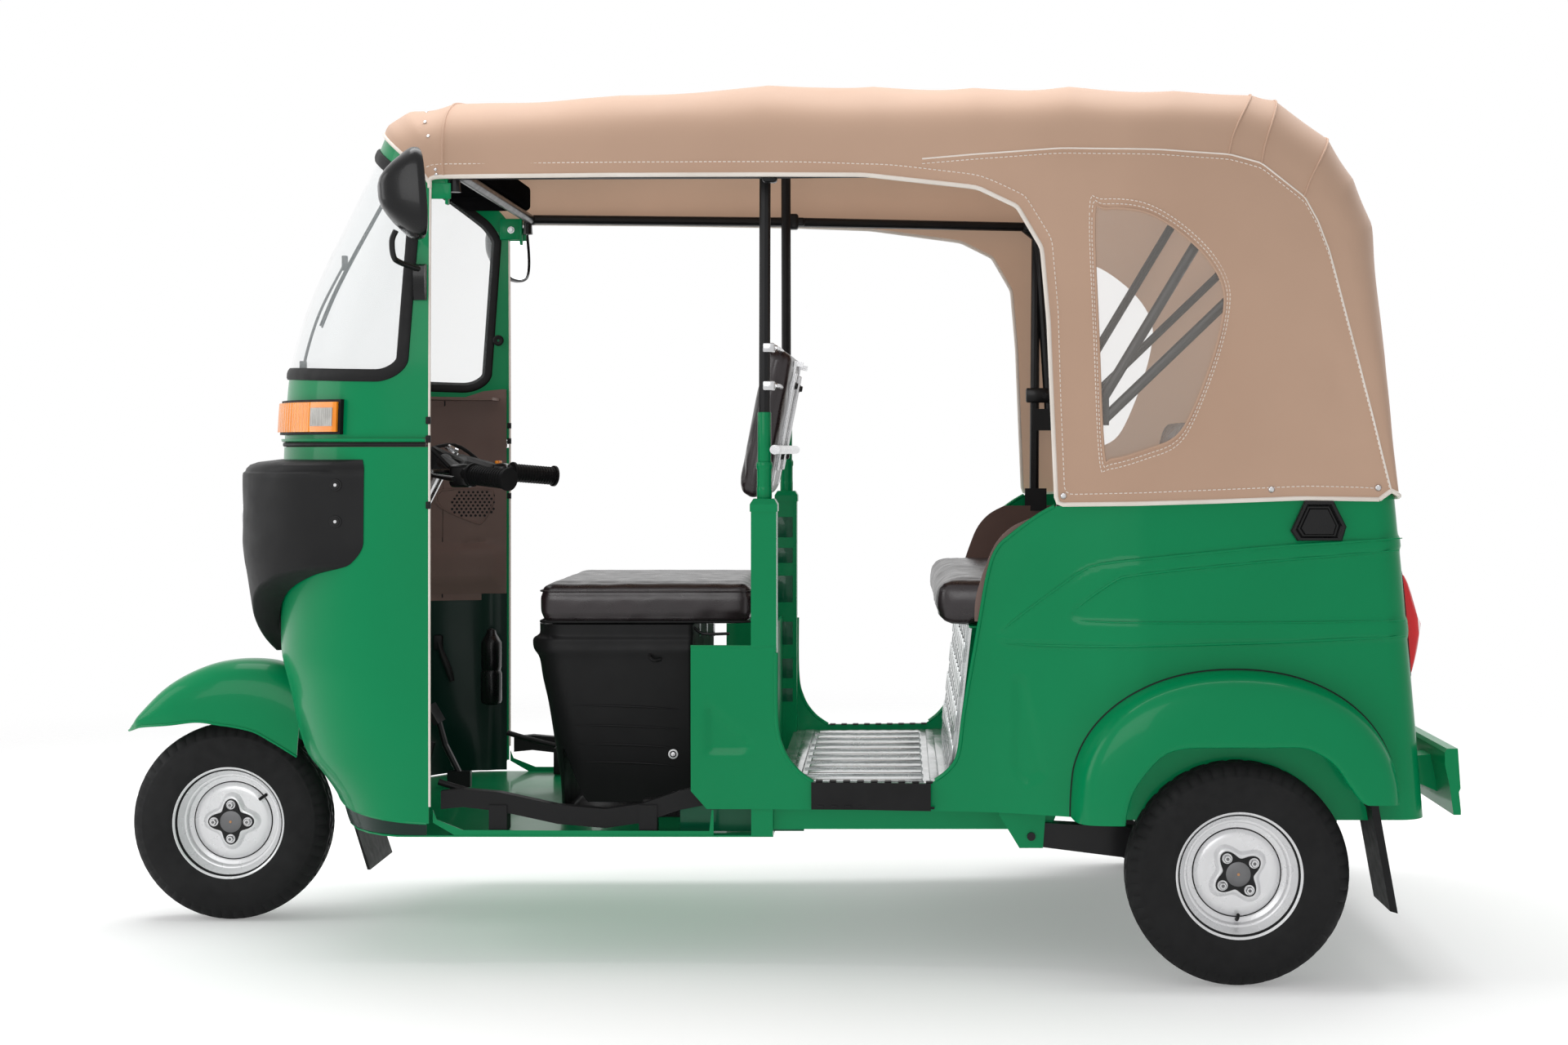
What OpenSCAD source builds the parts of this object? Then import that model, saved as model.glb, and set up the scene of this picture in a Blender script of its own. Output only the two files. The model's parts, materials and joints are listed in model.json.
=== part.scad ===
// Auto rickshaw: three-wheeled passenger vehicle with an open cab and a soft hood.
// Millimetres. +Z is up, -X is forward, the origin is on the ground under the middle of the vehicle.

/* [Overall] */
// Distance between the front and the rear axle
wheelbase = 2000; // [1800:10:2400]
// Distance between the middles of the rear wheels
track = 1150; // [1080:10:1320]
// Outside width of the rear body
body_w = 1140; // [1060:10:1300]
// Outside width of the cab
cab_w = 880; // [760:10:1000]
// Height of the top of the hood above the ground
roof_h = 1706; // [1640:2:1900]
// Wall thickness of the pressed panels
wall = 3; // [2:0.5:5]

/* [Wheels] */
// Outside diameter of a tyre
tyre_d = 408; // [360:2:440]
// Width of a tyre
tyre_w = 100; // [80:1:116]
// Diameter over the lip of a rim
rim_d = 232; // [200:2:260]
// Diameter of the wheel axles
axle_d = 20; // [16:1:26]
// Running clearance round an axle or a shaft
run_gap = 0.5; // [0.3:0.1:1]

/* [Steering] */
// Lean of the steering axis from upright, in degrees
rake = 27; // [24:0.5:30]
// Diameter of the steering column
column_d = 28; // [22:1:34]
// Width over the two grips
handlebar_w = 600; // [520:5:680]
// Width of the front mudguard
guard_w = 150; // [130:2:180]

/* [Cab and seats] */
// Width of the driver's seat cushion
driver_seat_w = 520; // [420:10:640]
// Height of the driver's seat above the ground
driver_seat_h = 711; // [680:2:760]
// Thickness of the driver's cushion
driver_pad = 80; // [60:2:100]
// Height of the passenger seat above the ground
bench_h = 729; // [700:2:780]
// Thickness of the passenger cushion
bench_pad = 86; // [60:2:100]
// Diameter of the hood tubes
hood_tube_d = 22; // [16:1:26]
// Seating gap between two fixed pieces
seat_gap = 0.3; // [0.2:0.1:0.5]

/* [Hidden] */

body_green = "#008C5A";
hood_tan = "#B29480";
plastic_black = "#1A1A1C";
lining_brown = "#553F3A";
seat_brown = "#2D2326";
rim_silver = "#D8D8DA";
lamp_amber = "#F08A14";
lamp_red = "#D0121C";

// Stations along the vehicle: the front group hangs on the front axle, the rear group on the rear one.
rear_axle_x = wheelbase / 2 - 100;
front_axle_x = rear_axle_x - wheelbase;
axle_z = tyre_d / 2;
cab_x = front_axle_x + 496;      // rear edge of the cab
post_x = rear_axle_x - 871;      // middle of the posts behind the driver
belt_x = rear_axle_x - 327;      // front end of the belt line
tail_x = rear_axle_x + 301;      // rear edge of the body at the belt line
belt_z = 880;                    // belt line, where the hood meets the body
floor_z = 241;                   // underside of the driver's floor
deck_z = bench_h - bench_pad - seat_gap;
step_z = 336;                    // top of the passenger floor
sill_z = 296;                    // lower edge of the body sides
tail_lean = 5.1;                 // the tail leans out towards the ground, in degrees
curve_fn = 48;

// ---------- general helpers ----------

function unit(v) = v / max(norm(v), 1e-9);
function mix(a, b, k) = a * (1 - k) + b * k;
function steps(n) = [for (i = [0 : n]) i / n];
function clampi(i, n) = min(max(i, 0), n);
// Points of a table [[key, value], ...] at one key.
function at(table, key) = lookup(key, table);
// A round power that keeps the sign.
function spow(v, e) = sign(v) * pow(abs(v), e);
// The point a share k along a list of points.
function along(points, k) = let (n = len(points) - 1, f = k * n, i = min(floor(f), n - 1))
    mix(points[i], points[i + 1], f - i);
// Unit normals of a grid of points, from its neighbours.
function grid_normals(g) = let (ni = len(g) - 1, nj = len(g[0]) - 1)
    [for (i = [0 : ni]) [for (j = [0 : nj]) unit(cross(
        g[clampi(i + 1, ni)][j] - g[clampi(i - 1, ni)][j],
        g[i][clampi(j + 1, nj)] - g[i][clampi(j - 1, nj)]))]];
function moved(g, normals, d) = [for (i = [0 : len(g) - 1]) [for (j = [0 : len(g[0]) - 1])
    g[i][j] + normals[i][j] * d]];
function flipped(g) = [for (row = g) [for (p = row) [p[0], -p[1], p[2]]]];

// A closed solid between an outer grid and an inner grid of the same size.
module shell(outer, inner) {
    ni = len(outer);
    nj = len(outer[0]);
    count = ni * nj;
    points = concat([for (row = outer) each row], [for (row = inner) each row]);
    function id(i, j) = i * nj + j;
    quads = concat(
        [for (i = [0 : ni - 2]) for (j = [0 : nj - 2]) [id(i, j), id(i, j + 1), id(i + 1, j + 1), id(i + 1, j)]],
        [for (i = [0 : ni - 2]) for (j = [0 : nj - 2])
            [id(i, j) + count, id(i + 1, j) + count, id(i + 1, j + 1) + count, id(i, j + 1) + count]],
        [for (j = [0 : nj - 2]) [id(0, j + 1), id(0, j), id(0, j) + count, id(0, j + 1) + count]],
        [for (j = [0 : nj - 2]) [id(ni - 1, j), id(ni - 1, j + 1), id(ni - 1, j + 1) + count, id(ni - 1, j) + count]],
        [for (i = [0 : ni - 2]) [id(i, 0), id(i + 1, 0), id(i + 1, 0) + count, id(i, 0) + count]],
        [for (i = [0 : ni - 2]) [id(i + 1, nj - 1), id(i, nj - 1), id(i, nj - 1) + count, id(i + 1, nj - 1) + count]]);
    polyhedron(points, [for (q = quads) each [[q[0], q[1], q[2]], [q[0], q[2], q[3]]]], convexity = 10);
}

// A sheet as thick as th, behind the grid, or in front of it where th is negative.
module sheet(g, th) {
    shell(th > 0 ? g : moved(g, grid_normals(g), -th), th > 0 ? moved(g, grid_normals(g), -th) : g);
}

// The same sheet on the other side of the vehicle.
module both_sides() {
    children();
    mirror([0, 1, 0]) children();
}

// A solid through rings of the same number of points, from the first to the last.
module loft(rings) {
    n = len(rings[0]);
    m = len(rings);
    points = [for (ring = rings) each ring];
    walls = [for (i = [0 : m - 2]) for (j = [0 : n - 1]) let (k = (j + 1) % n)
        each [[i * n + j, (i + 1) * n + j, (i + 1) * n + k], [i * n + j, (i + 1) * n + k, i * n + k]]];
    polyhedron(points, concat([[for (j = [0 : n - 1]) j]], [[for (j = [n - 1 : -1 : 0]) (m - 1) * n + j]], walls),
        convexity = 10);
}

// A round tube or bar along points; side is a direction that the path never follows.
module bar_along(path, d, side, sides = 10) {
    n = len(path) - 1;
    function tangent(i) = unit(unit(path[clampi(i + 1, n)] - path[clampi(i, n)])
        + unit(path[clampi(i, n)] - path[clampi(i - 1, n)]));
    function ring(i) = let (t = tangent(i), u = unit(cross(t, side)), v = cross(t, u))
        [for (k = [0 : sides - 1]) path[i] + d / 2 * (u * cos(360 * k / sides) + v * sin(360 * k / sides))];
    loft([for (i = [0 : n]) ring(i)]);
}

// An outline in X and Z, as thick as y1 - y0 across the vehicle.
module side_cut(outline, y0, y1) {
    translate([0, y1, 0]) rotate([90, 0, 0]) linear_extrude(y1 - y0) polygon(outline);
}

module box(x0, x1, y0, y1, z0, z1) {
    translate([x0, y0, z0]) cube([x1 - x0, y1 - y0, z1 - z0]);
}

// A pin or a bore across the vehicle.
module across(x, z, y0, y1, d) {
    translate([x, y0, z]) rotate([-90, 0, 0]) cylinder(d = d, h = y1 - y0, $fn = curve_fn);
}

// A box with its upright edges rounded, for a cushion or a case.
module soft_box(x0, x1, y0, y1, z0, z1, r) {
    hull() for (x = [x0 + r, x1 - r]) for (z = [z0 + r, z1 - r])
        translate([x, y0, z]) rotate([-90, 0, 0]) cylinder(r = r, h = y1 - y0, $fn = 24);
}

// ---------- cab surface ----------

cab_half = cab_w / 2;
seam_z = 996;                    // seam between the cowl and the windscreen frame
glass_z = 1108;                  // lower edge of the windscreen
pillar_z = 1490;                 // top of the cab's side pillars
crown_rise = 130;                // the header rises this far to the middle
cab_power = 2 / 2.4;
cab_steps = 26;                  // columns round the cab; what lies on it keeps to them
cab_turn = 180 / cab_steps;
// Height and reach of the cab in front of its rear edge, in the middle.
cab_reach = [[floor_z, 225], [294, 247], [339, 282], [376, 314], [496, 348], [592, 369], [664, 369],
    [780, 368], [seam_z, 361], [1121, 351], [1620, 126]];
cab_breadth = [[floor_z, cab_half - 2], [seam_z, cab_half], [1121, cab_half - 1], [1620, cab_half - 14]];

// A point of the cab at plan angle t and height z, d inside the outer face.
function cab_point(t, z, d = 0) = [
    cab_x - (at(cab_reach, z) - d) * spow(cos(t), cab_power),
    (at(cab_breadth, z) - d) * spow(sin(t), cab_power), z];
// Half the breadth of the cab at x and z, d inside the outer face.
function cab_y(x, z, d) = let (f = max(0, cab_x - x) / (at(cab_reach, z) - d))
    (at(cab_breadth, z) - d) * pow(max(0, 1 - pow(f, 2.4)), 1 / 2.4);
function cab_grid(t0, t1, nt, levels, d) = [for (z = levels)
    [for (k = steps(nt)) cab_point(mix(t0, t1, k), z, d)]];
module cab_patch(t0, t1, nt, levels, d_out, d_in) {
    shell(cab_grid(t0, t1, nt, levels, d_out), cab_grid(t0, t1, nt, levels, d_in));
}
// The space inside the cab, d inside its outer face.
module cab_space(z0, z1, d) {
    levels = concat([z0], [for (row = cab_reach) if (row[0] > z0 && row[0] < z1) row[0]], [z1]);
    loft([for (z = levels) concat(
        [for (k = steps(cab_steps)) cab_point(mix(90, -90, k), z, d)],
        [[cab_x + 40, d - at(cab_breadth, z), z], [cab_x + 40, at(cab_breadth, z) - d, z]])]);
}

// ---------- steering axis ----------

hub_x = front_axle_x + 440;
hub_z = 955;
axis_dir = [sin(rake), 0, cos(rake)];
// X of the steering axis at a height.
function axis_x(z) = hub_x - (hub_z - z) * tan(rake);
module on_axis(z) { translate([axis_x(z), 0, z]) rotate([0, rake, 0]) children(); }
head_d = column_d + 2 * run_gap + 14;
head_z0 = 556;
head_z1 = 720;
crown_z = 502;

// ---------- body surface ----------

body_half = body_w / 2;
post_y = cab_half + 6;
// Wheel arch of the body side, d inside the edge of the flare.
arch_x = rear_axle_x - 2;
arch_z = 333;
arch_half = 297;
arch_rise = 239;
function arch_point(a, d) = [arch_x - (arch_half - d) * spow(cos(a), 0.93),
    arch_z + (arch_rise - d) * spow(sin(a), 0.93)];
function arch_curve(d, n = 24) = [for (k = steps(n)) arch_point(180 * k, d)];
body_plan = [[post_x - 140, cab_half + 2], [post_x, post_y], [post_x + 170, post_y + 6],
    [post_x + 420, body_half - 90], [arch_point(22.5, 0)[0], body_half - 27],
    [arch_point(45, 0)[0], body_half - 8], [arch_point(60, 0)[0], body_half], [tail_x + 100, body_half]];
// How far the side falls in at each height.
side_fall = [[sill_z, 5], [480, 0.8], [690, 0.5], [belt_z + 17, 4.9]];
// Outer face of the body side at one station and height, and the inner face with its seating gap.
function body_y(x, z) = at(body_plan, x) - at(side_fall, z);
function tub_y(x, z) = body_y(x, z) - 1.08 * (wall + seat_gap);
function tail_at(z) = tail_x + (belt_z + 17 - z) * tan(tail_lean);
corner_r = 52;
// The body side from the posts to the tail and round the corner.
side_xs = [for (i = [1 : len(body_plan) - 2]) body_plan[i][0]];
function side_row(z) = let (x_end = tail_at(z) - corner_r) concat(
    [for (x = concat([post_x - 138], side_xs, [x_end])) [x, body_y(x, z), z]],
    [for (a = [18, 36, 54, 72, 90]) [x_end + corner_r * sin(a), body_y(x_end, z) - corner_r * (1 - cos(a)), z]]);
side_levels = [for (row = side_fall) row[0]];
side_grid = [for (z = side_levels) side_row(z)];

door_front = post_x + 24;
door_rear = post_x + 367;
side_outline = concat(
    [[post_x - 138, sill_z + 34], [post_x - 138, 603], [door_front, 603], [door_front, 471],
     [door_front + 12, 410], [door_front + 38, 371], [door_front + 69, step_z + 12],
     [door_rear - 52, step_z + 12], [door_rear - 20, 372], [door_rear, 405], [door_rear + 11, 487],
     [door_rear + 37, 638], [door_rear + 54, 737], [door_rear + 71, 788], [door_rear + 100, 817],
     [door_rear + 146, 852], [belt_x, belt_z - 10], [tail_x + 90, belt_z + 15], [tail_x + 90, 340],
     [arch_x + arch_half - 14, 340]],
    [for (k = steps(24)) arch_point(180 - 180 * k, 14)],
    [[arch_x - arch_half + 14, sill_z], [post_x - 108, sill_z]]);

// ---------- hood surface ----------

// Hood side at one station and height: it leans in a little towards the roof.
hood_plan = [[cab_x - 10, cab_half + 3], [post_x, cab_half + 56], [post_x + 205, cab_half + 86],
    [belt_x, body_half - 8], [belt_x + 130, body_half + 5], [tail_x + 60, body_half + 5]];
function hood_y(x, z) = at(hood_plan, x) - 9 * max(0, (z - belt_z) / 600);
// Each station: roof line, side seam and lower edge, each as [x, z], then the roundness across.
up = roof_h - 1706;
hood_stations = [
    [[cab_x - 85, 1655 + up / 2], [cab_x + 6, 1506], [cab_x + 10, 1490], 0.83, 0.60],
    [[cab_x + 16, 1672 + up], [cab_x + 20, 1508], [cab_x + 22, 1491], 0.83, 0.60],
    [[post_x - 290, 1688 + up], [post_x - 290, 1508], [post_x - 290, 1491], 0.83, 0.58],
    [[post_x, 1706 + up], [post_x, 1508], [post_x, 1489], 0.83, 0.56],
    [[post_x + 205, 1699 + up], [post_x + 205, 1506], [post_x + 190, 1485], 0.83, 0.56],
    [[post_x + 400, 1691 + up], [post_x + 391, 1520], [post_x + 399, 1459], 0.83, 0.54],
    [[rear_axle_x - 284, 1690 + up], [rear_axle_x - 318, 1529], [rear_axle_x - 398, 1423], 0.83, 0.54],
    [[rear_axle_x - 80, 1677 + up], [rear_axle_x - 140, 1525], [rear_axle_x - 353, 1346], 0.80, 0.52],
    [[rear_axle_x + 70, 1668 + up], [rear_axle_x - 10, 1516], [rear_axle_x - 341, 1212], 0.76, 0.5],
    [[rear_axle_x + 105, 1657 + up], [rear_axle_x + 48, 1500], [rear_axle_x - 334, 1040], 0.70, 0.5],
    [[rear_axle_x + 205, 1582 + up], [rear_axle_x + 128, 1438], [rear_axle_x - 327, 874], 0.62, 0.5],
    [[rear_axle_x + 256, 1500 + up / 2], [rear_axle_x + 152, 1395], [rear_axle_x - 180, 876], 0.56, 0.5],
    [[rear_axle_x + 288, 1404], [rear_axle_x + 172, 1340], [rear_axle_x - 40, 880], 0.52, 0.48],
    [[rear_axle_x + 302, 1150], [rear_axle_x + 222, 1150], [rear_axle_x + 120, 886], 0.45, 0.45],
    [[rear_axle_x + 309, 885], [rear_axle_x + 284, 900], [rear_axle_x + 262, 884], 0.35, 0.40]];
hood_th = 3;
function hood_row(s) = let (
        station = [for (c = [0 : 4]) along([for (row = hood_stations) row[c]], s)],
        q = station[1], p = station[0], e = station[2], qy = hood_y(q[0], q[1]))
    concat(
        [for (k = [0, 0.33, 0.66]) let (x = mix(e[0], q[0], k), z = mix(e[1], q[1], k)) [x, -hood_y(x, z), z]],
        [for (k = steps(20)) let (a = -90 + 180 * k) [
            q[0] + (p[0] - q[0]) * spow(cos(a), station[3]), qy * spow(sin(a), station[3]),
            q[1] + (p[1] - q[1]) * spow(cos(a), station[4])]],
        [for (k = [0.66, 0.33, 0]) let (x = mix(e[0], q[0], k), z = mix(e[1], q[1], k)) [x, hood_y(x, z), z]]);
hood_last = len(hood_stations) - 1;
// The front edge lies on the windscreen frame, just outside it; rise is its height over the header's edge.
function visor_row(rise) = concat(
    [for (k = [1, 0.67, 0.33]) visor_side(pillar_z + rise - 10 * k, -1)],
    [for (k = steps(20)) let (a = -90 + 180 * k) cab_point(a, header_z(a) + rise, -hood_th - 1.5)],
    [for (k = [0.33, 0.67, 1]) visor_side(pillar_z + rise - 10 * k, 1)]);
function visor_side(z, side) = [cab_x + 1, side * (at(cab_breadth, z) + hood_th + 1.5), z];
hood_grid = concat([visor_row(-10), visor_row(7)], [for (i = [0 : hood_last]) hood_row(i / hood_last)]);
// Points of one hood bow, d inside the cloth, from the left shoulder to the right one.
function bow_path(station, d, first = 4, last = 22) = let (s = station / hood_last, e = 0.004,
        g = [hood_row(max(0, s - e)), hood_row(s), hood_row(min(1, s + e))], n = grid_normals(g))
    [for (j = [first : last]) g[1][j] - n[1][j] * d];

window_outline = [[rear_axle_x - 256, 1404], [rear_axle_x - 240, 1416], [rear_axle_x - 170, 1409],
    [rear_axle_x - 114, 1381], [rear_axle_x - 58, 1332], [rear_axle_x - 26, 1280],
    [rear_axle_x - 22, 1230], [rear_axle_x - 40, 1150], [rear_axle_x - 78, 1050],
    [rear_axle_x - 110, 1000], [rear_axle_x - 160, 978], [rear_axle_x - 228, 962],
    [rear_axle_x - 242, 980], [rear_axle_x - 250, 1180]];

// ---------- floor and frame ----------

rail_y = 400;
rail_z0 = 255;
rail_z1 = step_z - wall - seat_gap;
well_half = 215;
well_outline = [[cab_x - 380, 590], [cab_x - 262, 590], [cab_x - 222, 545], [cab_x - 196, 440],
    [cab_x - 190, 300], [cab_x - 190, floor_z + seat_gap + wall]];

function plate_y(x) = min(post_y - 20, cab_y(x, floor_z, wall + seat_gap));
module driver_floor() color(body_green) {
    x1 = post_x + 17;
    edge = post_y - 20;
    xs = concat([for (k = steps(6)) cab_x - 190 * (1 - k)], [x1]);
    translate([0, 0, floor_z]) linear_extrude(wall) polygon(concat([for (x = xs) [x, plate_y(x)]],
        [for (i = [len(xs) - 1 : -1 : 0]) [xs[i], -plate_y(xs[i])]]));
    both_sides() side_cut([[cab_x + 5, 268], [cab_x + 5, 292], [cab_x + 12, 274], [cab_x + 62, 254],
        [post_x - 104, 252], [post_x - 100, 292], [post_x - 96, 292], [post_x - 96, floor_z + 1],
        [cab_x + 50, floor_z + 1]], edge - 4, edge - 1);
}

module wheel_well() color(body_green) intersection() {
    union() {
        side_cut(concat(well_outline, [for (i = [len(well_outline) - 1 : -1 : 0])
            well_outline[i] + [i > 2 ? wall : wall * 0.8, i > 2 ? 0 : wall]]), -well_half, well_half);
        both_sides() side_cut(concat([[cab_x - 380, floor_z + wall + seat_gap]], well_outline),
            well_half, well_half + wall);
    }
    cab_space(floor_z + wall + seat_gap, 620, wall + 2 * seat_gap);
    // Hole for the steering head.
    difference() {
        box(cab_x - 600, cab_x, -cab_w, cab_w, 0, 900);
        on_axis(480) cylinder(d = head_d + 2 * seat_gap, h = 260, $fn = curve_fn);
    }
}

module chassis_frame() color(body_green) {
    x0 = post_x + 17 + seat_gap;
    kick_x = post_x + 500;
    arm_x = rear_axle_x - 368;
    both_sides() {
        box(x0, kick_x, rail_y - 20, rail_y + 20, rail_z0, rail_z1);
        side_cut([[kick_x, rail_z0], [kick_x, rail_z1], [kick_x + 120, 560], [tail_x - 12, 560],
            [tail_x - 12, 520], [kick_x + 150, 520], [kick_x + 50, rail_z0]], 330, 368);
        box(kick_x - 40, kick_x, 368, rail_y + 20, rail_z0, rail_z1);
        // Ears for the pivot of the trailing arm.
        difference() {
            for (y = [rail_y + 20, rail_y + 66]) side_cut([[arm_x - 60, rail_z1], [arm_x - 60, 290],
                [arm_x - 22, 228], [arm_x + 22, 228], [arm_x + 30, rail_z1]], y, y + 5);
            across(arm_x, 250, rail_y, rail_y + 90, 16);
        }
        box(arm_x - 60, arm_x + 30, rail_y + 20, rail_y + 71, rail_z1 - 6, rail_z1);
        // Shock absorber towers.
        side_cut([[rear_axle_x - 10, 560], [rear_axle_x + 34, 560], [rear_axle_x + 34, 520], [rear_axle_x - 10, 520]],
            368, 440);
    }
    for (x = [x0, x0 + 220, kick_x - 40]) box(x, x + 34, 20 - rail_y, rail_y - 20, rail_z0 + 10, rail_z1);
    for (x = [kick_x + 160, rear_axle_x + 40, tail_x - 60]) box(x, x + 34, -330, 330, 520, 555);
}

// ---------- cab ----------

module front_cowl() color(body_green) difference() {
    cab_patch(-90, 90, cab_steps, [268, 294, 339, 376, 496, 592, 664, 780, seam_z], 0, wall);
    side_cut([[cab_x - 500, 200], [cab_x - 500, 640], [cab_x - 230, 640], [cab_x - 230, 200]],
        -well_half, well_half);
    side_cut([[cab_x + 9, 200], [cab_x + 9, 268], [cab_x - 161, 280], [cab_x - 228, 294], [cab_x - 320, 330],
        [cab_x - 320, 200]], -cab_w, cab_w);
    // The steering column passes behind the nose.
    on_axis(640) translate([0, 0, -200]) cylinder(d = head_d + 4, h = 200, $fn = curve_fn);
}

function glass_outline(inset) = [[cab_x - 46 - inset, glass_z - 4 + inset], [cab_x - 600, glass_z + 13 + inset],
    [cab_x - 600, 1575 - inset], [cab_x - 146, 1575 - inset], [cab_x - 134, 1564 - inset],
    [cab_x - 85 - inset / 2, 1531 - inset], [cab_x - 34 - inset, 1484 - inset], [cab_x - 20 - inset, 1450]];

// Top edge of the windscreen frame at plan angle t.
function header_z(t) = pillar_z + crown_rise * spow(cos(t), 0.6);
function header_grid(d) = [for (k = [-1 : 6]) [for (j = steps(cab_steps)) let (t = mix(-90, 90, j))
    cab_point(t, k < 0 ? seam_z + seat_gap : mix(1121, header_z(t), k / 6), d)]];
module windscreen_frame() color(body_green) {
    difference() {
        shell(header_grid(0), header_grid(wall));
        side_cut(glass_outline(0), -cab_w, cab_w);
    }
    // Flanges that carry the hood rails.
    both_sides() box(cab_x, cab_x + 40, cab_half - 14, cab_half - 11, 1450, 1480);
    both_sides() box(cab_x - 8, cab_x + 3, cab_half - 14, cab_half - 11, 1450, 1480);
}

glass_levels = [for (k = steps(4)) mix(glass_z - 20, 1600, k)];
module windscreen_glass() color("#BFD8E0", 0.4) intersection() {
    cab_patch(-89, 89, 26, glass_levels, 0, 4);
    side_cut(glass_outline(8), -cab_w, cab_w);
}

module windscreen_seal() color(plastic_black) difference() {
    intersection() {
        cab_patch(-89.5, 89.5, 26, glass_levels, -4, 7);
        side_cut(glass_outline(seat_gap), -cab_w, cab_w);
    }
    side_cut(glass_outline(8 - seat_gap), -cab_w, cab_w);
}

mask_half = cab_half - 5;
mask_reach = cab_reach[6][1] + 62;
lamp_y = 188;
lamp_z = 850;
lamp_d = 152;
mask_rows = [[956, 74, 20], [940, 75, 0], [860, 75, 0], [775, 75, 0], [756, 72, 4], [735, 56, 8], [690, 36, 14],
    [648, 25, 20], [600, 15, 32], [566, 8, 44]];
function mask_point(t, z, d) = [cab_x - (mask_reach - d) * spow(cos(t), 0.625),
    (mask_half - d / 3) * spow(sin(t), 0.625), z];
function mask_grid(d) = [for (row = mask_rows) [for (k = steps(20))
    mask_point(mix(row[1], -row[1], k), row[0], row[2] + d)]];
module headlamp_mask() color(plastic_black) difference() {
    shell(mask_grid(0), [for (row = mask_grid(0)) [for (p = row)
        [min(p[0] + 140, cab_x - 120), p[1] * 0.9, p[2]]]]);
    cab_space(500, 970, -seat_gap);
    for (side = [-1, 1]) translate([cab_x - 600, side * lamp_y, lamp_z]) rotate([0, 90, 0])
        cylinder(d = lamp_d, h = 600 - 362, $fn = curve_fn);
}

module headlamps() color("#E8EEF0") for (side = [-1, 1])
    translate([cab_x - 362 - seat_gap, side * lamp_y, lamp_z]) rotate([0, -90, 0])
        rotate_extrude($fn = curve_fn) polygon([[0, 0], [lamp_d / 2 - 1, 0], [lamp_d / 2 - 1, 40], [lamp_d / 2 - 10, 46],
            [40, 53], [0, 56]]);

lamp_rows = [[1006, -11], [1012, -15], [1063, -15], [1069, -11]];
module corner_lamps() color(lamp_amber) both_sides()
    shell([for (row = lamp_rows) [for (k = steps(8)) cab_point(mix(26, 66, k), row[0], row[1])]],
        [for (row = lamp_rows) [for (k = steps(8)) cab_point(mix(26, 66, k), row[0], -2 * seat_gap)]]);

wiper_y = 30;
module wiper() color(plastic_black) {
    base = cab_point(4, glass_z - 18, -16);
    mid = cab_point(4, 1368, -16);
    bar_along([base, mid], 7, [0, 1, 0], 8);
    bar_along([for (z = [1250, 1320, 1368, 1430, 1500]) cab_point(4, z, -9)], 8, [0, 1, 0], 8);
    translate(cab_point(4, glass_z - 20, -3 * seat_gap)) rotate([0, -80, 0]) cylinder(d = 22, h = 20, $fn = 24);
}

mirror_z = 1446;
module mirrors() color(plastic_black) both_sides() {
    y = cab_half + 90;
    // Head: a tall shell with its glass towards the driver.
    translate([cab_x - 36, y, mirror_z]) rotate([0, 4, 6]) hull() {
        for (p = [[0, -58], [0, 58], [52, -66], [-62, -56], [84, 20], [-80, 30]])
            translate([-10, p[1], p[0]]) rotate([0, 90, 0]) cylinder(r = 12, h = 26, $fn = 16);
        translate([-34, 0, -4]) rotate([0, 90, 0]) cylinder(r = 34, h = 20, $fn = 16);
    }
    bar_along([[cab_x - 44, y - 10, mirror_z - 74], [cab_x - 50, y - 24, mirror_z - 108],
        [cab_x - 44, y - 40, mirror_z - 122], [cab_x - 18, cab_half + 12, mirror_z - 132]], 11, [1, 0, 0], 8);
    box(cab_x - 27, cab_x - 3, at(cab_breadth, mirror_z - 186) + seat_gap, cab_half + 14, mirror_z - 186, mirror_z - 124);
}

// ---------- inside the cab ----------

lining_z = 633;
shelf_z = 1092;
module dashboard() color(lining_brown) {
    cab_patch(-90 + cab_turn, 90 - cab_turn, cab_steps - 2, [lining_z, 664, 780, seam_z, shelf_z],
        wall + seat_gap, wall + 5 + seat_gap);
    intersection() {
        difference() {
            box(cab_x - 400, cab_x - 20, -cab_half, cab_half, shelf_z - 6, shelf_z);
            translate([0, 0, shelf_z - 20]) linear_extrude(40) polygon([for (k = steps(32))
                [cab_x + 20 - 250 * sin(180 * k), 338 * cos(180 * k)]]);
        }
        cab_space(shelf_z - 10, shelf_z + 5, wall + 6);
    }
    // Instrument housing.
    soft_box(cab_x - 300, cab_x - 215, -120, 120, shelf_z - 90, shelf_z + 24, 22);
}

module foot_controls() color(plastic_black) {
    top = floor_z + wall + seat_gap;
    // Brake pedal on its floor bracket.
    box(cab_x - 90, cab_x - 40, 180, 200, top, top + 34);
    bar_along([[cab_x - 66, 190, top + 30], [cab_x - 96, 190, top + 90], [cab_x - 110, 190, top + 140]], 14, [0, 1, 0], 8);
    translate([cab_x - 112, 150, top + 136]) rotate([0, -30, 0]) cube([10, 80, 44]);
    // Starter and reverse lever on the left wall.
    box(cab_x - 90, cab_x - 60, -20 - well_half, -well_half + 20, top, top + 24);
    bar_along([[cab_x - 75, -well_half, top + 20], [cab_x - 40, -well_half, top + 150]], 14, [0, 1, 0], 8);
}

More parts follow.
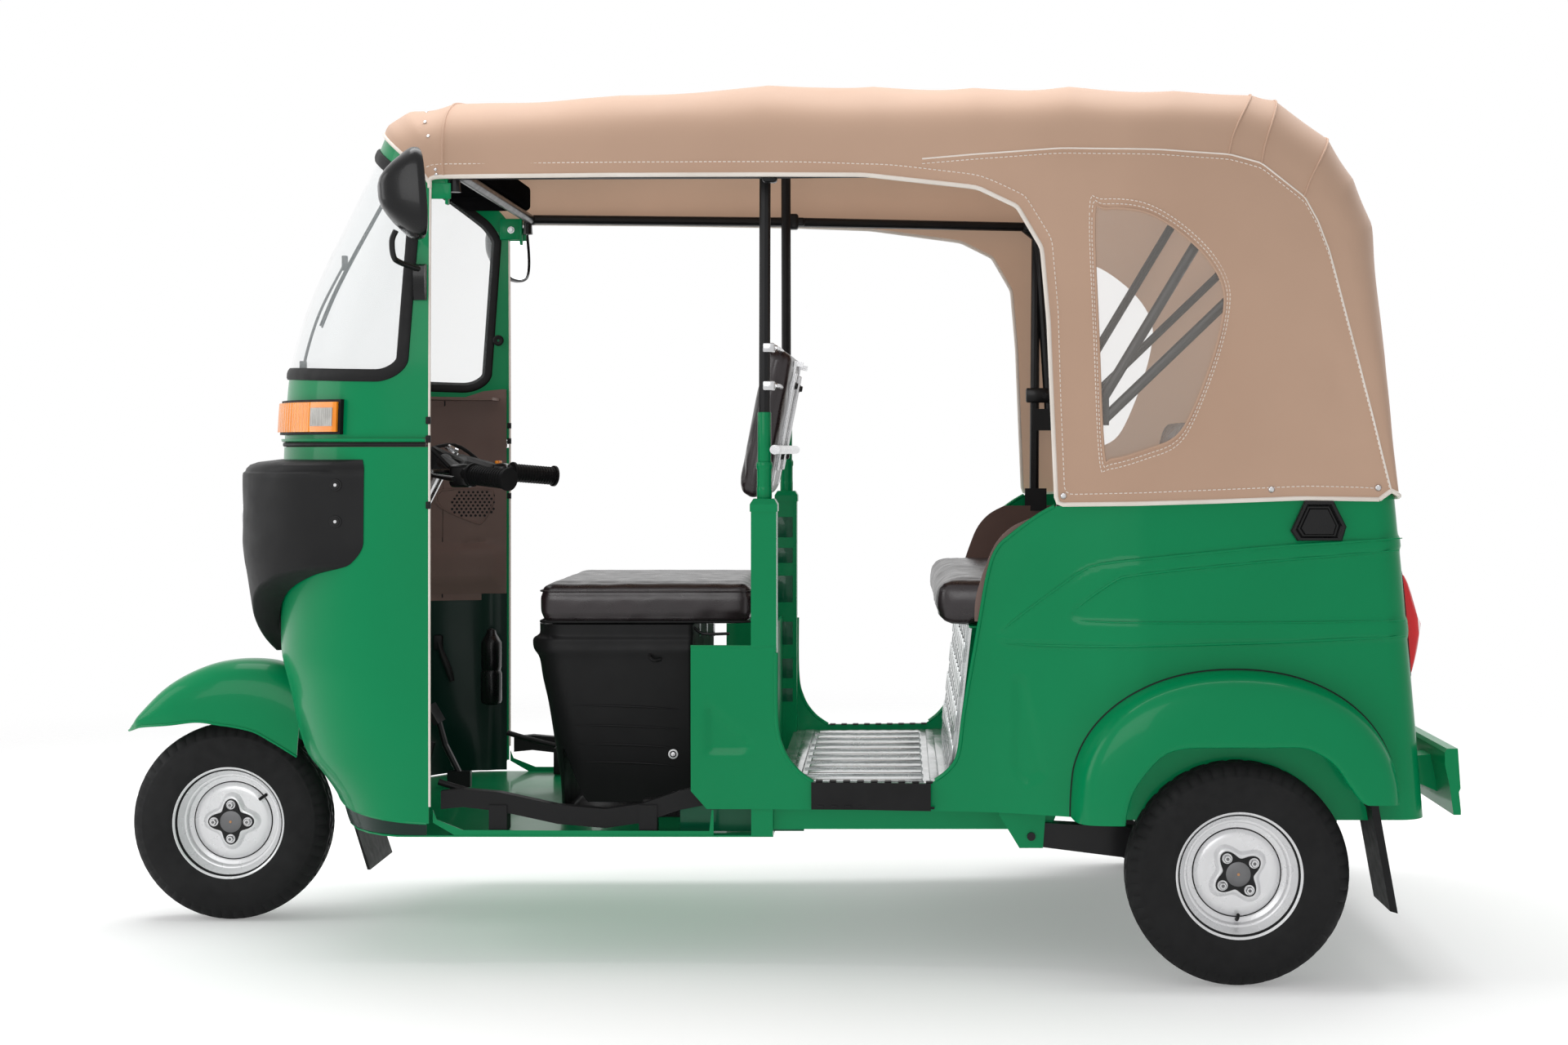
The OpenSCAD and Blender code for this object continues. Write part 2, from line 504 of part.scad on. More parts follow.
module sill_ducts() color(plastic_black) both_sides() {
    y = post_y - 17 - 14;
    top = floor_z + wall + seat_gap;
    side_cut([[cab_x + 18, 326], [cab_x + 60, 330], [cab_x + 130, 324], [cab_x + 240, 300], [cab_x + 330, 292],
        [cab_x + 400, 302], [cab_x + 470, 326], [cab_x + 520, 336], [cab_x + 600, 336],
        [cab_x + 600, 300], [cab_x + 520, 300], [cab_x + 470, 290], [cab_x + 400, 266], [cab_x + 330, 256],
        [cab_x + 240, 264], [cab_x + 130, 288], [cab_x + 60, 296], [cab_x + 18, 292]], y - 22, y);
    for (x = [cab_x + 110, cab_x + 395]) box(x, x + 34, y - 26, y + 4, top, 300);
}

module roof_console() color(plastic_black)
    soft_box(cab_x - 86, cab_x + 64, -340, 340, 1498 + hood_tube_d / 2 + seat_gap, 1566, 12);

// ---------- seats ----------

seat_z0 = driver_seat_h - driver_pad;
seat_x0 = post_x - 453;
base_z = floor_z + wall + seat_gap;
// Plan of the seat base at each height: how far the front and the sides stand in.
seat_base_rows = [[base_z, 44, 42], [320, 40, 36], [470, 20, 14], [560, 4, 2], [596, -8, 0],
    [seat_z0 - 18, 4, 4], [seat_z0 - seat_gap, 4, 4]];
function seat_base_ring(z, front, side) = let (x0 = seat_x0 - 12 + front, x1 = post_x - 151,
        w = driver_seat_w / 2 - side, r = 60)
    [for (c = [[x0 + r, w - r, 90, r], [x0 + r, r - w, 180, r], [x1 - 10, 10 - w, 270, 10], [x1 - 10, w - 10, 0, 10]])
        for (k = [0, 30, 60, 90]) [c[0] + c[3] * cos(c[2] + k), c[1] + c[3] * sin(c[2] + k), z]];
module seat_base() color(plastic_black) difference() {
    loft([for (row = seat_base_rows) seat_base_ring(row[0], row[1], row[2])]);
    box(seat_x0 + 60, post_x - 155, 60 - driver_seat_w / 2, driver_seat_w / 2 - 60, base_z - 1, seat_z0 - 30);
}

module driver_seat() color(seat_brown)
    soft_box(seat_x0, post_x - 34, -driver_seat_w / 2, driver_seat_w / 2, seat_z0, driver_seat_h, 24);

back_lean = 11;
module driver_backrest() color(seat_brown)
    translate([post_x - 66, 0, 886]) rotate([0, back_lean, 0])
        translate([0, 0, 0]) soft_box(0, 56, -210, 210, 0, 300, 22);

module backrest_bracket() color("#C8C8CC") {
    translate([post_x - 66, 0, 886]) rotate([0, back_lean, 0]) for (y = [-120, 90]) {
        box(56 + seat_gap, 60 + seat_gap, y, y + 30, 28, 286);
        box(56 + seat_gap, 74, y + 6, y + 24, 276, 286);
    }
    // Cross tube on the back of the two posts.
    across(post_x + hood_tube_d / 2 + 9 + seat_gap, 975, 6 - post_y, post_y - 6, 18);
}

module partition() color(body_green) {
    y = post_y - 47;
    top = floor_z + wall + seat_gap;
    box(post_x - 12, post_x - 8, -y, y, top, 600);
    both_sides() {
        box(door_front - 48, post_x + 17, post_y - 46, post_y - 10, top, 603 + seat_gap);
        box(door_front - 48, door_front, post_y - 46, post_y - 10, step_z + seat_gap, 603 + seat_gap);
        box(door_front - 48, door_front, post_y - 46, post_y - seat_gap, 603 + seat_gap, 858);
        hull() {
            box(door_front - 50, door_front + 2, post_y - 48, post_y + 2, 858, 872);
            box(door_front - 44, door_front - 4, post_y - 44, post_y - 4, 872, 882);
        }
        translate([post_x, post_y - 26, 882]) cylinder(d = hood_tube_d + 6, h = 60, $fn = curve_fn);
    }
}

// ---------- rear body ----------

module side_panel(side) color(body_green) mirror([0, side < 0 ? 1 : 0, 0]) intersection() {
    sheet(side_grid, wall);
    side_cut(side_outline, body_half - 260, body_half + 40);
}

module side_linings() color(lining_brown) both_sides() intersection() {
    shell(moved(side_grid, grid_normals(side_grid), -wall - seat_gap), moved(side_grid, grid_normals(side_grid), -wall - 12));
    side_cut([[door_rear + 40, deck_z + 10], [door_rear + 42, 700], [door_rear + 58, 750], [door_rear + 74, 794],
        [door_rear + 98, 818], [door_rear + 128, 832], [rear_axle_x - 60, 832], [rear_axle_x - 60, deck_z + 10]], 300, 700);
}

floor_x0 = door_front + seat_gap - 7;
module passenger_floor() color(body_green) {
    x1 = door_rear - 14;
    xs = [for (k = steps(6)) mix(floor_x0, x1, k)];
    translate([0, 0, step_z - wall]) linear_extrude(wall) polygon(concat([for (x = xs) [x, tub_y(x, 296)]],
        [for (i = [6 : -1 : 0]) [xs[i], -tub_y(xs[i], 296)]]));
    for (y = [-360 : 90 : 360]) box(floor_x0 + 50, x1 - 50, y - 22, y + 22, step_z, step_z + 5);
}

function riser_outline(d0, d1) = [[door_rear - 10 - d1, step_z + seat_gap], [door_rear + 25 - d1, deck_z - wall - seat_gap],
        [door_rear + 25 - d0, deck_z - wall - seat_gap], [door_rear - 10 - d0, step_z + seat_gap]];
module seat_riser() color(body_green) {
    side_cut(riser_outline(0, wall), -tub_y(door_rear - 14, 320), tub_y(door_rear - 14, 320));
    for (k = [-4 : 4]) side_cut(riser_outline(wall - 1, wall + 4), k * 90 - 18, k * 90 + 18);
}

module seat_deck() color(body_green) {
    x_end = tail_at(deck_z) - corner_r - 8;
    xs = concat([door_rear + 44], [for (x = side_xs) if (x > door_rear + 44) x], [x_end]);
    translate([0, 0, deck_z - wall]) linear_extrude(wall)
        polygon(concat([for (x = xs) [x, tub_y(x, deck_z)]], [for (i = [len(xs) - 1 : -1 : 0]) [xs[i], -tub_y(xs[i], deck_z)]]));
    box(door_rear + 20, door_rear + 60, -post_y - 10, post_y + 10, deck_z - wall, deck_z);
}

function tread_grid(d) = [for (z = [sill_z + 1, step_z + 12])
    [for (x = [door_front + 66, side_xs[1], door_rear - 52]) [x, body_y(x, z) + d, z]]];
module step_treads() color(plastic_black) both_sides()
    shell(tread_grid(7), tread_grid(1.2 * seat_gap));

function bench_y(x) = min(body_half - 70, body_y(x, deck_z) - wall - 22);
module passenger_seat() color(seat_brown) intersection() {
    soft_box(door_rear - 40, door_rear + 372, -body_half, body_half, bench_h - bench_pad, bench_h, 34);
    linear_extrude(1000) polygon(concat([for (k = steps(8)) let (x = mix(door_rear - 40, door_rear + 372, k)) [x, bench_y(x)]],
        [for (k = steps(8)) let (x = mix(door_rear + 372, door_rear - 40, k)) [x, -bench_y(x)]]));
}

rest_lean = 14;
rest_pad = 70;
rest_round = 28;
module passenger_backrest() color(seat_brown) {
    foot = (rest_pad - rest_round) * tan(rest_lean) + rest_round * (1 / cos(rest_lean) - 1);
    translate([door_rear + 400, 0, deck_z + 2 * seat_gap]) rotate([0, rest_lean, 0])
        translate([0, 0, foot]) soft_box(0, rest_pad, 70 - body_half, body_half - 70, 0, 400, rest_round);
}

// The tail stands on a plane that leans out towards the ground.
module on_tail() { translate([tail_at(belt_z + 17), 0, belt_z + 17]) rotate([0, -tail_lean, 0]) children(); }
tail_h = 556;
lid_half = 300;
lid_top = -190;
lid_low = -450;
hinge_x = 4.5;
hinge_h = lid_top + 3;
hinge_ys = [-220, 180];
function tail_edge(z) = at([for (level = side_levels) [level, body_y(tail_x - corner_r, level)]], z) - corner_r - 3 * seat_gap;
module hinge_part(y0, y1, leaf0, leaf1) {
    translate([hinge_x, y0, hinge_h]) rotate([-90, 0, 0]) cylinder(d = 8, h = y1 - y0, $fn = curve_fn);
    box(-wall, hinge_x, y0, y1, leaf0, leaf1);
}
module rear_panel() color(body_green) on_tail() {
    levels = [belt_z + 17 - tail_h, 480, 690, belt_z + 17];
    difference() {
        rotate([90, 0, 90]) translate([0, 0, -wall]) linear_extrude(wall) polygon(concat(
            [for (z = levels) [tail_edge(z), z - belt_z - 17]],
            [for (i = [3 : -1 : 0]) [-tail_edge(levels[i]), levels[i] - belt_z - 17]]));
        box(-wall - 1, 1, -lid_half - 6, lid_half + 6, lid_low - 6, lid_top + 6);
        // Holes for the number plate.
        for (h = [-70, 70]) translate([-wall - 1, h, -500]) rotate([0, 90, 0]) cylinder(d = 8, h = wall + 2, $fn = curve_fn);
    }
    for (y = hinge_ys) hinge_part(y - 20.5, y - 0.5, hinge_h, lid_top + 12);
}

module engine_door() color(body_green) on_tail() {
    box(-wall, 0, -lid_half, lid_half, lid_low, lid_top);
    for (k = [0 : 5]) box(0, 5, -200, 200, -400 + k * 26, -392 + k * 26);
    for (y = hinge_ys) hinge_part(y, y + 40, lid_top - 4, hinge_h);
}

module tail_lamps() color(lamp_red) both_sides() on_tail()
    translate([seat_gap, 0, 0]) hull() {
        for (p = [[-160, 0, 5], [-330, 0, 5], [-176, 6, 22], [-255, 8, 46], [-300, 8, 30]])
            translate([0, body_half - 162, p[0]]) rotate([0, 90, 0]) cylinder(r = 8, h = p[2] + 6, $fn = 16);
        for (p = [[-166, 3], [-330, 3], [-250, 28]])
            translate([0, body_half - 82, p[0]]) rotate([0, 90, 0]) cylinder(r = 8, h = p[1] + 6, $fn = 16);
    }

bumper_x = rear_axle_x + 388;
module rear_bumper() color(body_green) {
    side_cut([[bumper_x + 4, 425], [bumper_x, 418], [bumper_x, 396], [bumper_x + 8, 360], [bumper_x + 16, 303],
        [bumper_x + 29.5, 303], [bumper_x + 29.5, 312], [bumper_x + 26, 345], [bumper_x + 29, 352],
        [bumper_x + 24, 425]], -body_half + 20, body_half - 20);
    for (y = [-440, 380]) side_cut([[tail_at(396) + 0.5, 396], [bumper_x + 4, 400], [bumper_x + 12, 330],
        [tail_at(352) + 0.5, 352]], y, y + 60);
}

flare_half = body_half + 80;
function flare_inner(k) = along([[arch_x - 210, arch_z + 5], [arch_x - 196, 344], [arch_x - 180, 366], [arch_x - 151, 413],
    [arch_x - 126, 431], [arch_x - 92, 437], [arch_x - 40, 438], [arch_x + 40, 438], [arch_x + 108, 438],
    [arch_x + 141, 427], [arch_x + 171, 405], [arch_x + 196, 369], [arch_x + 219, 350]], k);
module flare() {
    function row(f, y) = [for (k = steps(24)) let (o = arch_point(180 * k, 0), i = flare_inner(k), p = mix(o, i, f))
        [p[0], y < 0 ? body_y(p[0], p[1]) - y : y, p[1]]];
    outer = [row(0, -seat_gap), row(0.03, -22), row(0.12, -50), row(0.3, body_half + 66), row(0.6, flare_half - 4),
        row(1, flare_half)];
    inner = [row(0.03, -seat_gap), row(0.06, -20), row(0.16, -47), row(0.32, body_half + 62), row(0.6, flare_half - 8),
        row(0.98, flare_half - 4)];
    shell([for (i = [5 : -1 : 0]) outer[i]], [for (i = [5 : -1 : 0]) inner[i]]);
}
module fender_left() color(body_green) mirror([0, 1, 0]) flare();
module fender_right() color(body_green) flare();

flap_z = 338;
housing_y = body_half - 104;
function housing_grid(d) = [for (k = [1, 0]) [for (p = arch_curve(d))
    [p[0], mix(housing_y, tub_y(p[0], p[1]) - 0.3, k), p[1]]]];
module wheel_housings() color(plastic_black) both_sides() {
    shell(housing_grid(4), housing_grid(4 + wall));
    side_cut(arch_curve(4), housing_y - wall, housing_y);
    // Shelf that carries the mud flap.
    box(arch_x + 232, arch_x + arch_half - 7, housing_y, body_half - 9, flap_z, flap_z + wall);
}

module side_vents() color(plastic_black) both_sides()
    side_cut([[rear_axle_x + 103, 866], [rear_axle_x + 118, 806], [rear_axle_x + 190, 806], [rear_axle_x + 203, 818],
        [rear_axle_x + 196, 860], [rear_axle_x + 184, 872], [rear_axle_x + 124, 872]],
        body_y(rear_axle_x + 150, 806) + seat_gap, body_half + 9);

module mud_flaps() color(plastic_black) {
    both_sides() side_cut([[rear_axle_x + 236, flap_z - seat_gap], [rear_axle_x + 250, flap_z - seat_gap],
        [rear_axle_x + 286, 136], [rear_axle_x + 272, 140]], body_half - 90, body_half + 50);
    // Front flap under the wheel well.
    side_cut([[front_axle_x + 262, floor_z - seat_gap], [front_axle_x + 330, floor_z - seat_gap],
        [front_axle_x + 330, floor_z - 6], [front_axle_x + 268, floor_z - 8], [front_axle_x + 306, 118],
        [front_axle_x + 300, 118]], -100, 100);
}

// ---------- axles, springs and engine ----------

hub_y = track / 2;
arm_pivot_x = rear_axle_x - 368;
module trailing_arms() color(plastic_black) both_sides() {
    y0 = rail_y + 26;
    difference() {
        union() {
            side_cut([[arm_pivot_x - 22, 262], [arm_pivot_x + 20, 274], [rear_axle_x - 120, 262], [rear_axle_x + 30, axle_z + 36],
                [rear_axle_x + 34, axle_z - 30], [rear_axle_x - 120, 200], [arm_pivot_x + 10, 230], [arm_pivot_x - 22, 238]],
                y0, y0 + 39);
            across(rear_axle_x, axle_z, y0 + 39, hub_y - 66, 60);
            across(rear_axle_x, axle_z, hub_y - 66, hub_y + 26, axle_d);
        }
        across(arm_pivot_x, 250, y0 - 1, y0 + 60, 16);
    }
    across(arm_pivot_x, 250, rail_y + 21, rail_y + 76, 15.4);
}

module rear_shocks() color("#303236") both_sides() {
    x = rear_axle_x - 40;
    bar_along([[x, rail_y + 2, axle_z + 62], [x + 40, rail_y + 8, 500]], 46, [0, 1, 0], 16);
    bar_along([[x + 40, rail_y + 8, 500], [x + 42, rail_y + 8, 518.6]], 22, [0, 1, 0], 12);
    box(x - 18, x + 18, rail_y - 16, rail_y + 25.7, axle_z + 20, axle_z + 60);
}

module engine() color("#7A7C80") box(rear_axle_x - 60, rear_axle_x + 260, -190, 190, 190, 519.7);

module exhaust() color("#5A5A5C") {
    across(rear_axle_x + 318, 300, -190, 210, 96);
    bar_along([[rear_axle_x + 270, 150, 300], [rear_axle_x + 260.3, 150, 300]], 34, [0, 0, 1], 12);
    bar_along([[rear_axle_x + 328, -180, 292], [rear_axle_x + 336, -262, 276]], 30, [0, 0, 1], 12);
}

// ---------- hood ----------

module rear_window_cut(d) translate([tail_x - 200, 0, 0]) rotate([90, 0, 90]) linear_extrude(300)
    offset(r = 60 - d) square([2 * (340 - 60), 2 * (120 - 60)], center = true);
module rear_window(d) translate([0, 0, 1180]) rear_window_cut(d);
module canopy() color(hood_tan) difference() {
    sheet(hood_grid, hood_th);
    side_cut(window_outline, -body_w, body_w);
    rear_window(0);
}

module canopy_windows() color("#DDE4E6", 0.5) {
    centre = [rear_axle_x - 140, 1190];
    inset = [for (p = window_outline) p + (centre - p) * 0.004];
    xs = [rear_axle_x - 260, rear_axle_x - 140, rear_axle_x - 20];
    both_sides() intersection() {
        shell([for (z = [950, 1180, 1420]) [for (x = xs) [x, hood_y(x, z) - 0.4, z]]],
            [for (z = [950, 1180, 1420]) [for (x = xs) [x, hood_y(x, z) - 2.4, z]]]);
        side_cut(inset, 100, body_w);
    }
    intersection() {
        sheet([for (i = [hood_last - 2 : hood_last + 1]) [for (j = [5 : 21]) hood_grid[i][j]]], hood_th - 1);
        rear_window(seat_gap);
    }
}

tube_in = hood_tube_d / 2 + hood_th + 0.8;
module hood_hoop() color(plastic_black) {
    arc = bow_path(3, tube_in);
    low = [post_x, post_y - 26, 943];
    bar_along(concat([[low[0], -low[1], low[2]], [low[0], 20 - low[1], 1430]],
        [for (k = [3 : len(arc) - 4]) [post_x, arc[k][1] * 0.97, arc[k][2] - 2]],
        [[low[0], low[1] - 20, 1430], low]), hood_tube_d, [1, 0, 0]);
}

rail_top = 1498;
stay_x = rear_axle_x - 298;
module hood_frame() color(plastic_black) {
    front_y = cab_half - 14 - hood_tube_d / 2 - seat_gap;
    mid_y = post_y + 6;
    rear_y = body_half - 44;
    both_sides() {
        bar_along([[cab_x + 46, front_y, rail_top - 34], [cab_x + 46, front_y, rail_top - 8], [cab_x + 62, front_y + 2, rail_top],
            [post_x, mid_y, rail_top - 2], [stay_x - 30, rear_y - 4, rail_top - 6], [stay_x, rear_y, rail_top - 30],
            [stay_x - 4, rear_y - 2, belt_z + 4]], hood_tube_d, [0, 1, 0]);
        box(stay_x - 26, stay_x + 24, rear_y - 14, tub_y(stay_x - 26, belt_z), 834, belt_z + 6);
    }
    across(cab_x + 52, rail_top, -front_y, front_y, hood_tube_d);
    for (s = [[6, 0], [9, 1], [11, 2]]) {
        arc = bow_path(s[0], tube_in, 5, 21);
        bar_along(concat([[stay_x + 30 + 14 * s[1], 2 - rear_y, 1060 - 16 * s[1]]], arc,
            [[stay_x + 30 + 14 * s[1], rear_y - 2, 1060 - 16 * s[1]]]), hood_tube_d - 2, [1, 0, 0.4]);
    }
    both_sides() box(stay_x - 4, stay_x + 70, rear_y - 12, rear_y + 8, 1020, 1070);
}

// ---------- steering ----------

module steering_head() color(body_green) difference() {
    union() {
        on_axis(head_z0) cylinder(d = head_d, h = (head_z1 - head_z0) / cos(rake), $fn = curve_fn);
        side_cut([[axis_x(600) + 10, 593.3], [axis_x(600) - 70, 593.3], [axis_x(650) - 30, 640], [axis_x(650), 650]], -4, 4);
    }
    on_axis(head_z0 - 20) cylinder(d = column_d + 2 * run_gap, h = 300, $fn = curve_fn);
}

module steering_column() color("#3A3C40") on_axis(crown_z)
    cylinder(d = column_d, h = (hub_z - 30 - crown_z) / cos(rake), $fn = curve_fn);

grip_y = handlebar_w / 2;
module handlebar() color(plastic_black) {
    on_axis(hub_z - 30) translate([0, 0, seat_gap]) cylinder(d = 74, h = 46, $fn = curve_fn);
    both_sides() {
        bar_along([[hub_x, 0, hub_z - 2], [hub_x + 14, 90, hub_z - 4], [hub_x + 60, grip_y - 110, hub_z - 22],
            [hub_x + 100, grip_y - 70, hub_z - 30]], 30, [0, 0, 1]);
        bar_along([[hub_x + 100, grip_y - 70, hub_z - 30], [hub_x + 180, grip_y - 12, hub_z - 38]], 38, [0, 0, 1], 14);
    }
}

fork_y = guard_w / 2 + 13 - 0.1;
module front_fork() color("#2A2C30") {
    lower = [front_axle_x + 80, fork_y, axle_z - 4];
    difference() {
        union() {
            on_axis(crown_z) translate([-26, -30, -26 - seat_gap]) cube([52, fork_y + 42, 26]);
            bar_along([[axis_x(crown_z) - 4, fork_y, crown_z - 10], [axis_x(380), fork_y, 380], lower], 26, [0, 1, 0]);
            across(lower[0], lower[2], fork_y - 14, fork_y + 16, 40);
            side_cut([[front_axle_x - 18, axle_z + 18], [lower[0], lower[2] + 16], [lower[0], lower[2] - 16],
                [front_axle_x - 18, axle_z - 18]], fork_y - 8, fork_y + 8);
            // Spring and damper over the leading link.
            bar_along([[front_axle_x + 6, fork_y + 32, axle_z + 8], [axis_x(440) - 8, fork_y + 32, 440]], 40, [0, 1, 0], 14);
            across(front_axle_x + 6, axle_z + 4, fork_y - 6, fork_y + 34, 16);
            across(axis_x(440) - 8, 440, fork_y - 6, fork_y + 34, 16);
        }
    }
    across(front_axle_x, axle_z, -24, fork_y, axle_d);
}

// Mudguard: crown line [x, z] from the axle and the lower edge of its skirt at the same station.
guard_line = [[[-217, 188], [-217, 184], 0.1], [[-205, 203], [-200, 190], 0.4], [[-190, 222], [-178, 197], 0.66],
    [[-145, 268], [-118, 203], 0.9], [[-101, 298], [-57, 210], 0.98], [[-48, 321], [-10, 204], 1],
    [[0, 331], [18, 200], 1], [[45, 333], [60, 190], 1], [[90, 328], [97, 170], 1], [[130, 312], [130, 150], 1],
    [[162, 290], [149, 138], 1]];
module front_mudguard() color(body_green) {
    g = [for (row = guard_line) [for (k = steps(14)) let (a = -90 + 180 * k) [
        front_axle_x + mix(row[1][0], row[0][0], spow(cos(a), 0.7)),
        guard_w / 2 * row[2] * spow(sin(a), 0.7),
        axle_z + 3 + mix(row[1][1], row[0][1], spow(cos(a), 0.6))]]];
    sheet(g, 3);
}

// ---------- wheels ----------

rim_r = rim_d / 2;
bead_r = rim_r - 12;
module tyre() color(plastic_black) rotate([-90, 0, 0]) rotate_extrude($fn = 72) {
    r = tyre_d / 2;
    h = tyre_w / 2;
    polygon([[bead_r, -h + 12], [rim_r + 1, -h + 10], [rim_r + 14, -h + 2], [mix(rim_r, r, 0.55), -h],
        [mix(rim_r, r, 0.78), -h + 2], [r - 10, -h + 7], [r - 3, -h + 15], [r, -h + 28], [r, h - 28], [r - 3, h - 15],
        [r - 10, h - 7], [mix(rim_r, r, 0.78), h - 2], [mix(rim_r, r, 0.55), h], [rim_r + 14, h - 2],
        [rim_r + 1, h - 10], [bead_r, h - 12], [bead_r, 0]]);
}

// Pressed wheel: barrel, lips, dished disc and hub; hub_len reaches inwards to the brake drum.
module rim(hub_len) color(rim_silver) rotate([-90, 0, 0]) rotate_extrude($fn = 72) {
    h = tyre_w / 2;
    r = bead_r - seat_gap;
    bore = axle_d / 2 + run_gap;
    polygon([[r, -h + 10], [rim_r, -h + 9.2], [rim_r, -h + 6], [r - 3, -h + 6], [r - 4, -h + 24], [82, -h + 27],
        [72, -h + 13], [58, -h + 15], [50, -h + 24], [bore, -h + 24], [bore, -h + 24 + hub_len],
        [68, -h + 24 + hub_len], [72, -h + 34], [84, -h + 33], [r - 4, -h + 30], [r - 3, h - 6], [rim_r, h - 6],
        [rim_r, h - 9.2], [r, h - 10]]);
}

module at_wheel(x, y) { translate([x, y, axle_z]) children(); }
module front_tyre() at_wheel(front_axle_x, 0) tyre();
module front_rim() at_wheel(front_axle_x, 0) rim(52);
module rear_left_tyre() at_wheel(rear_axle_x, -hub_y) tyre();
module rear_left_rim() at_wheel(rear_axle_x, -hub_y) rim(70);
module rear_right_tyre() at_wheel(rear_axle_x, hub_y) tyre();
module rear_right_rim() at_wheel(rear_axle_x, hub_y) mirror([0, 1, 0]) rim(70);

module side_panel_left() side_panel(-1);
module side_panel_right() side_panel(1);

driver_floor();
wheel_well();
chassis_frame();
front_cowl();
windscreen_frame();
windscreen_glass();
windscreen_seal();
headlamp_mask();
headlamps();
corner_lamps();
wiper();
mirrors();
dashboard();
foot_controls();
sill_ducts();
roof_console();
seat_base();
driver_seat();
driver_backrest();
backrest_bracket();
partition();
side_panel_left();
side_panel_right();
side_linings();
passenger_floor();
seat_riser();
seat_deck();
step_treads();
passenger_seat();
passenger_backrest();
rear_panel();
engine_door();
tail_lamps();
rear_bumper();
fender_left();
fender_right();
wheel_housings();
side_vents();
mud_flaps();
trailing_arms();
rear_shocks();
engine();
exhaust();
canopy();
canopy_windows();
hood_hoop();
hood_frame();
steering_head();
steering_column();
handlebar();
front_fork();
front_mudguard();
front_tyre();
front_rim();
rear_left_tyre();
rear_left_rim();
rear_right_tyre();
rear_right_rim();
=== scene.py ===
import json
import math

import bmesh
import bpy
import numpy as np
from mathutils import Matrix, Vector


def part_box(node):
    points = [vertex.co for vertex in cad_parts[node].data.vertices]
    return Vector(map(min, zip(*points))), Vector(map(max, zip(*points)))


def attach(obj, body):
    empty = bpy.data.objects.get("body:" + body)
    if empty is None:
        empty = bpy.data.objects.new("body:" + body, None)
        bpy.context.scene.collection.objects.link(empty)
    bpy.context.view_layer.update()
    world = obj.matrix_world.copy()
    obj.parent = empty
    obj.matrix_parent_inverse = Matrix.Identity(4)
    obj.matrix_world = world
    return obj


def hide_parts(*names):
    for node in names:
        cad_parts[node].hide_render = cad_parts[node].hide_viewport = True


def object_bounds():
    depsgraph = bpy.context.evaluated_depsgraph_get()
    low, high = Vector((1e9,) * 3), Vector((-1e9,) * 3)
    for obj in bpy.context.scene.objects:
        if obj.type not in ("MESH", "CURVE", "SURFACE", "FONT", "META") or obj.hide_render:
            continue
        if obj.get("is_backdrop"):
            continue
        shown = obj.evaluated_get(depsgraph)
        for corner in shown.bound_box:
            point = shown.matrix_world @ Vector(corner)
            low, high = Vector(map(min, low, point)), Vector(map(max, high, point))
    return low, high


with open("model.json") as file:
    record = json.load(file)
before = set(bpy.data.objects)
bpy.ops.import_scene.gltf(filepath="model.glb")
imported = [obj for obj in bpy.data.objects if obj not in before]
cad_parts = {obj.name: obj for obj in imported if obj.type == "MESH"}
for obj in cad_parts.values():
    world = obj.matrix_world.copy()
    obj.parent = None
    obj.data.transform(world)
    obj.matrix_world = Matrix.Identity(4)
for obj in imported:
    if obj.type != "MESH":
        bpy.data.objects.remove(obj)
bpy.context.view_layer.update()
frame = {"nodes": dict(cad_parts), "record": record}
nodes = frame["nodes"]
scene = bpy.context.scene
mm = 0.001                        # every size below is in millimetres
print("frame loaded:", len(nodes), "nodes")


# Where the vehicle's own stations lie.
def middle(node):
    low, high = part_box(node)
    return [(low[i] + high[i]) / 2 / mm for i in range(3)]


def edge(node, end, axis):
    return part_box(node)[end][axis] / mm


frontX, _, axleZ = middle("front_tyre")
rearX, leftHubY, _ = middle("rear_left_tyre")
hubY = -leftHubY
cabX = edge("driver_floor", 0, 0) + 190
postX = rearX - 871
doorFront, doorRear = postX + 24, postX + 367
beltX, tailX = rearX - 327, rearX + 301
beltZ, stepZ, sillZ, deckZ = 880, 336, 296, 642.7
cabHalf, bodyHalf, wall = 440, 570, 3


# Finishes: two tones of colour, uneven shine and a fine relief.

def node(tree, kind, **values):
    made = tree.nodes.new("ShaderNode" + kind)
    for key, value in values.items():
        if key in made.inputs:
            made.inputs[key].default_value = value
        else:
            setattr(made, key, value)
    return made


def wire(tree, *links):
    for source, socket, target, into in links:
        tree.links.new(source.outputs[socket], target.inputs[into])


def blendStops(tree, factor, stops):
    # A colour ramp over a factor; stops are (place, colour).
    ramp = node(tree, "ValToRGB")
    while len(ramp.color_ramp.elements) < len(stops):
        ramp.color_ramp.elements.new(0.5)
    for element, (place, colour) in zip(ramp.color_ramp.elements, stops):
        element.position = place
        element.color = (*colour[:3], 1) if hasattr(colour, "__len__") else (colour, colour, colour, 1)
    tree.links.new(factor, ramp.inputs["Fac"])
    return ramp.outputs["Color"]


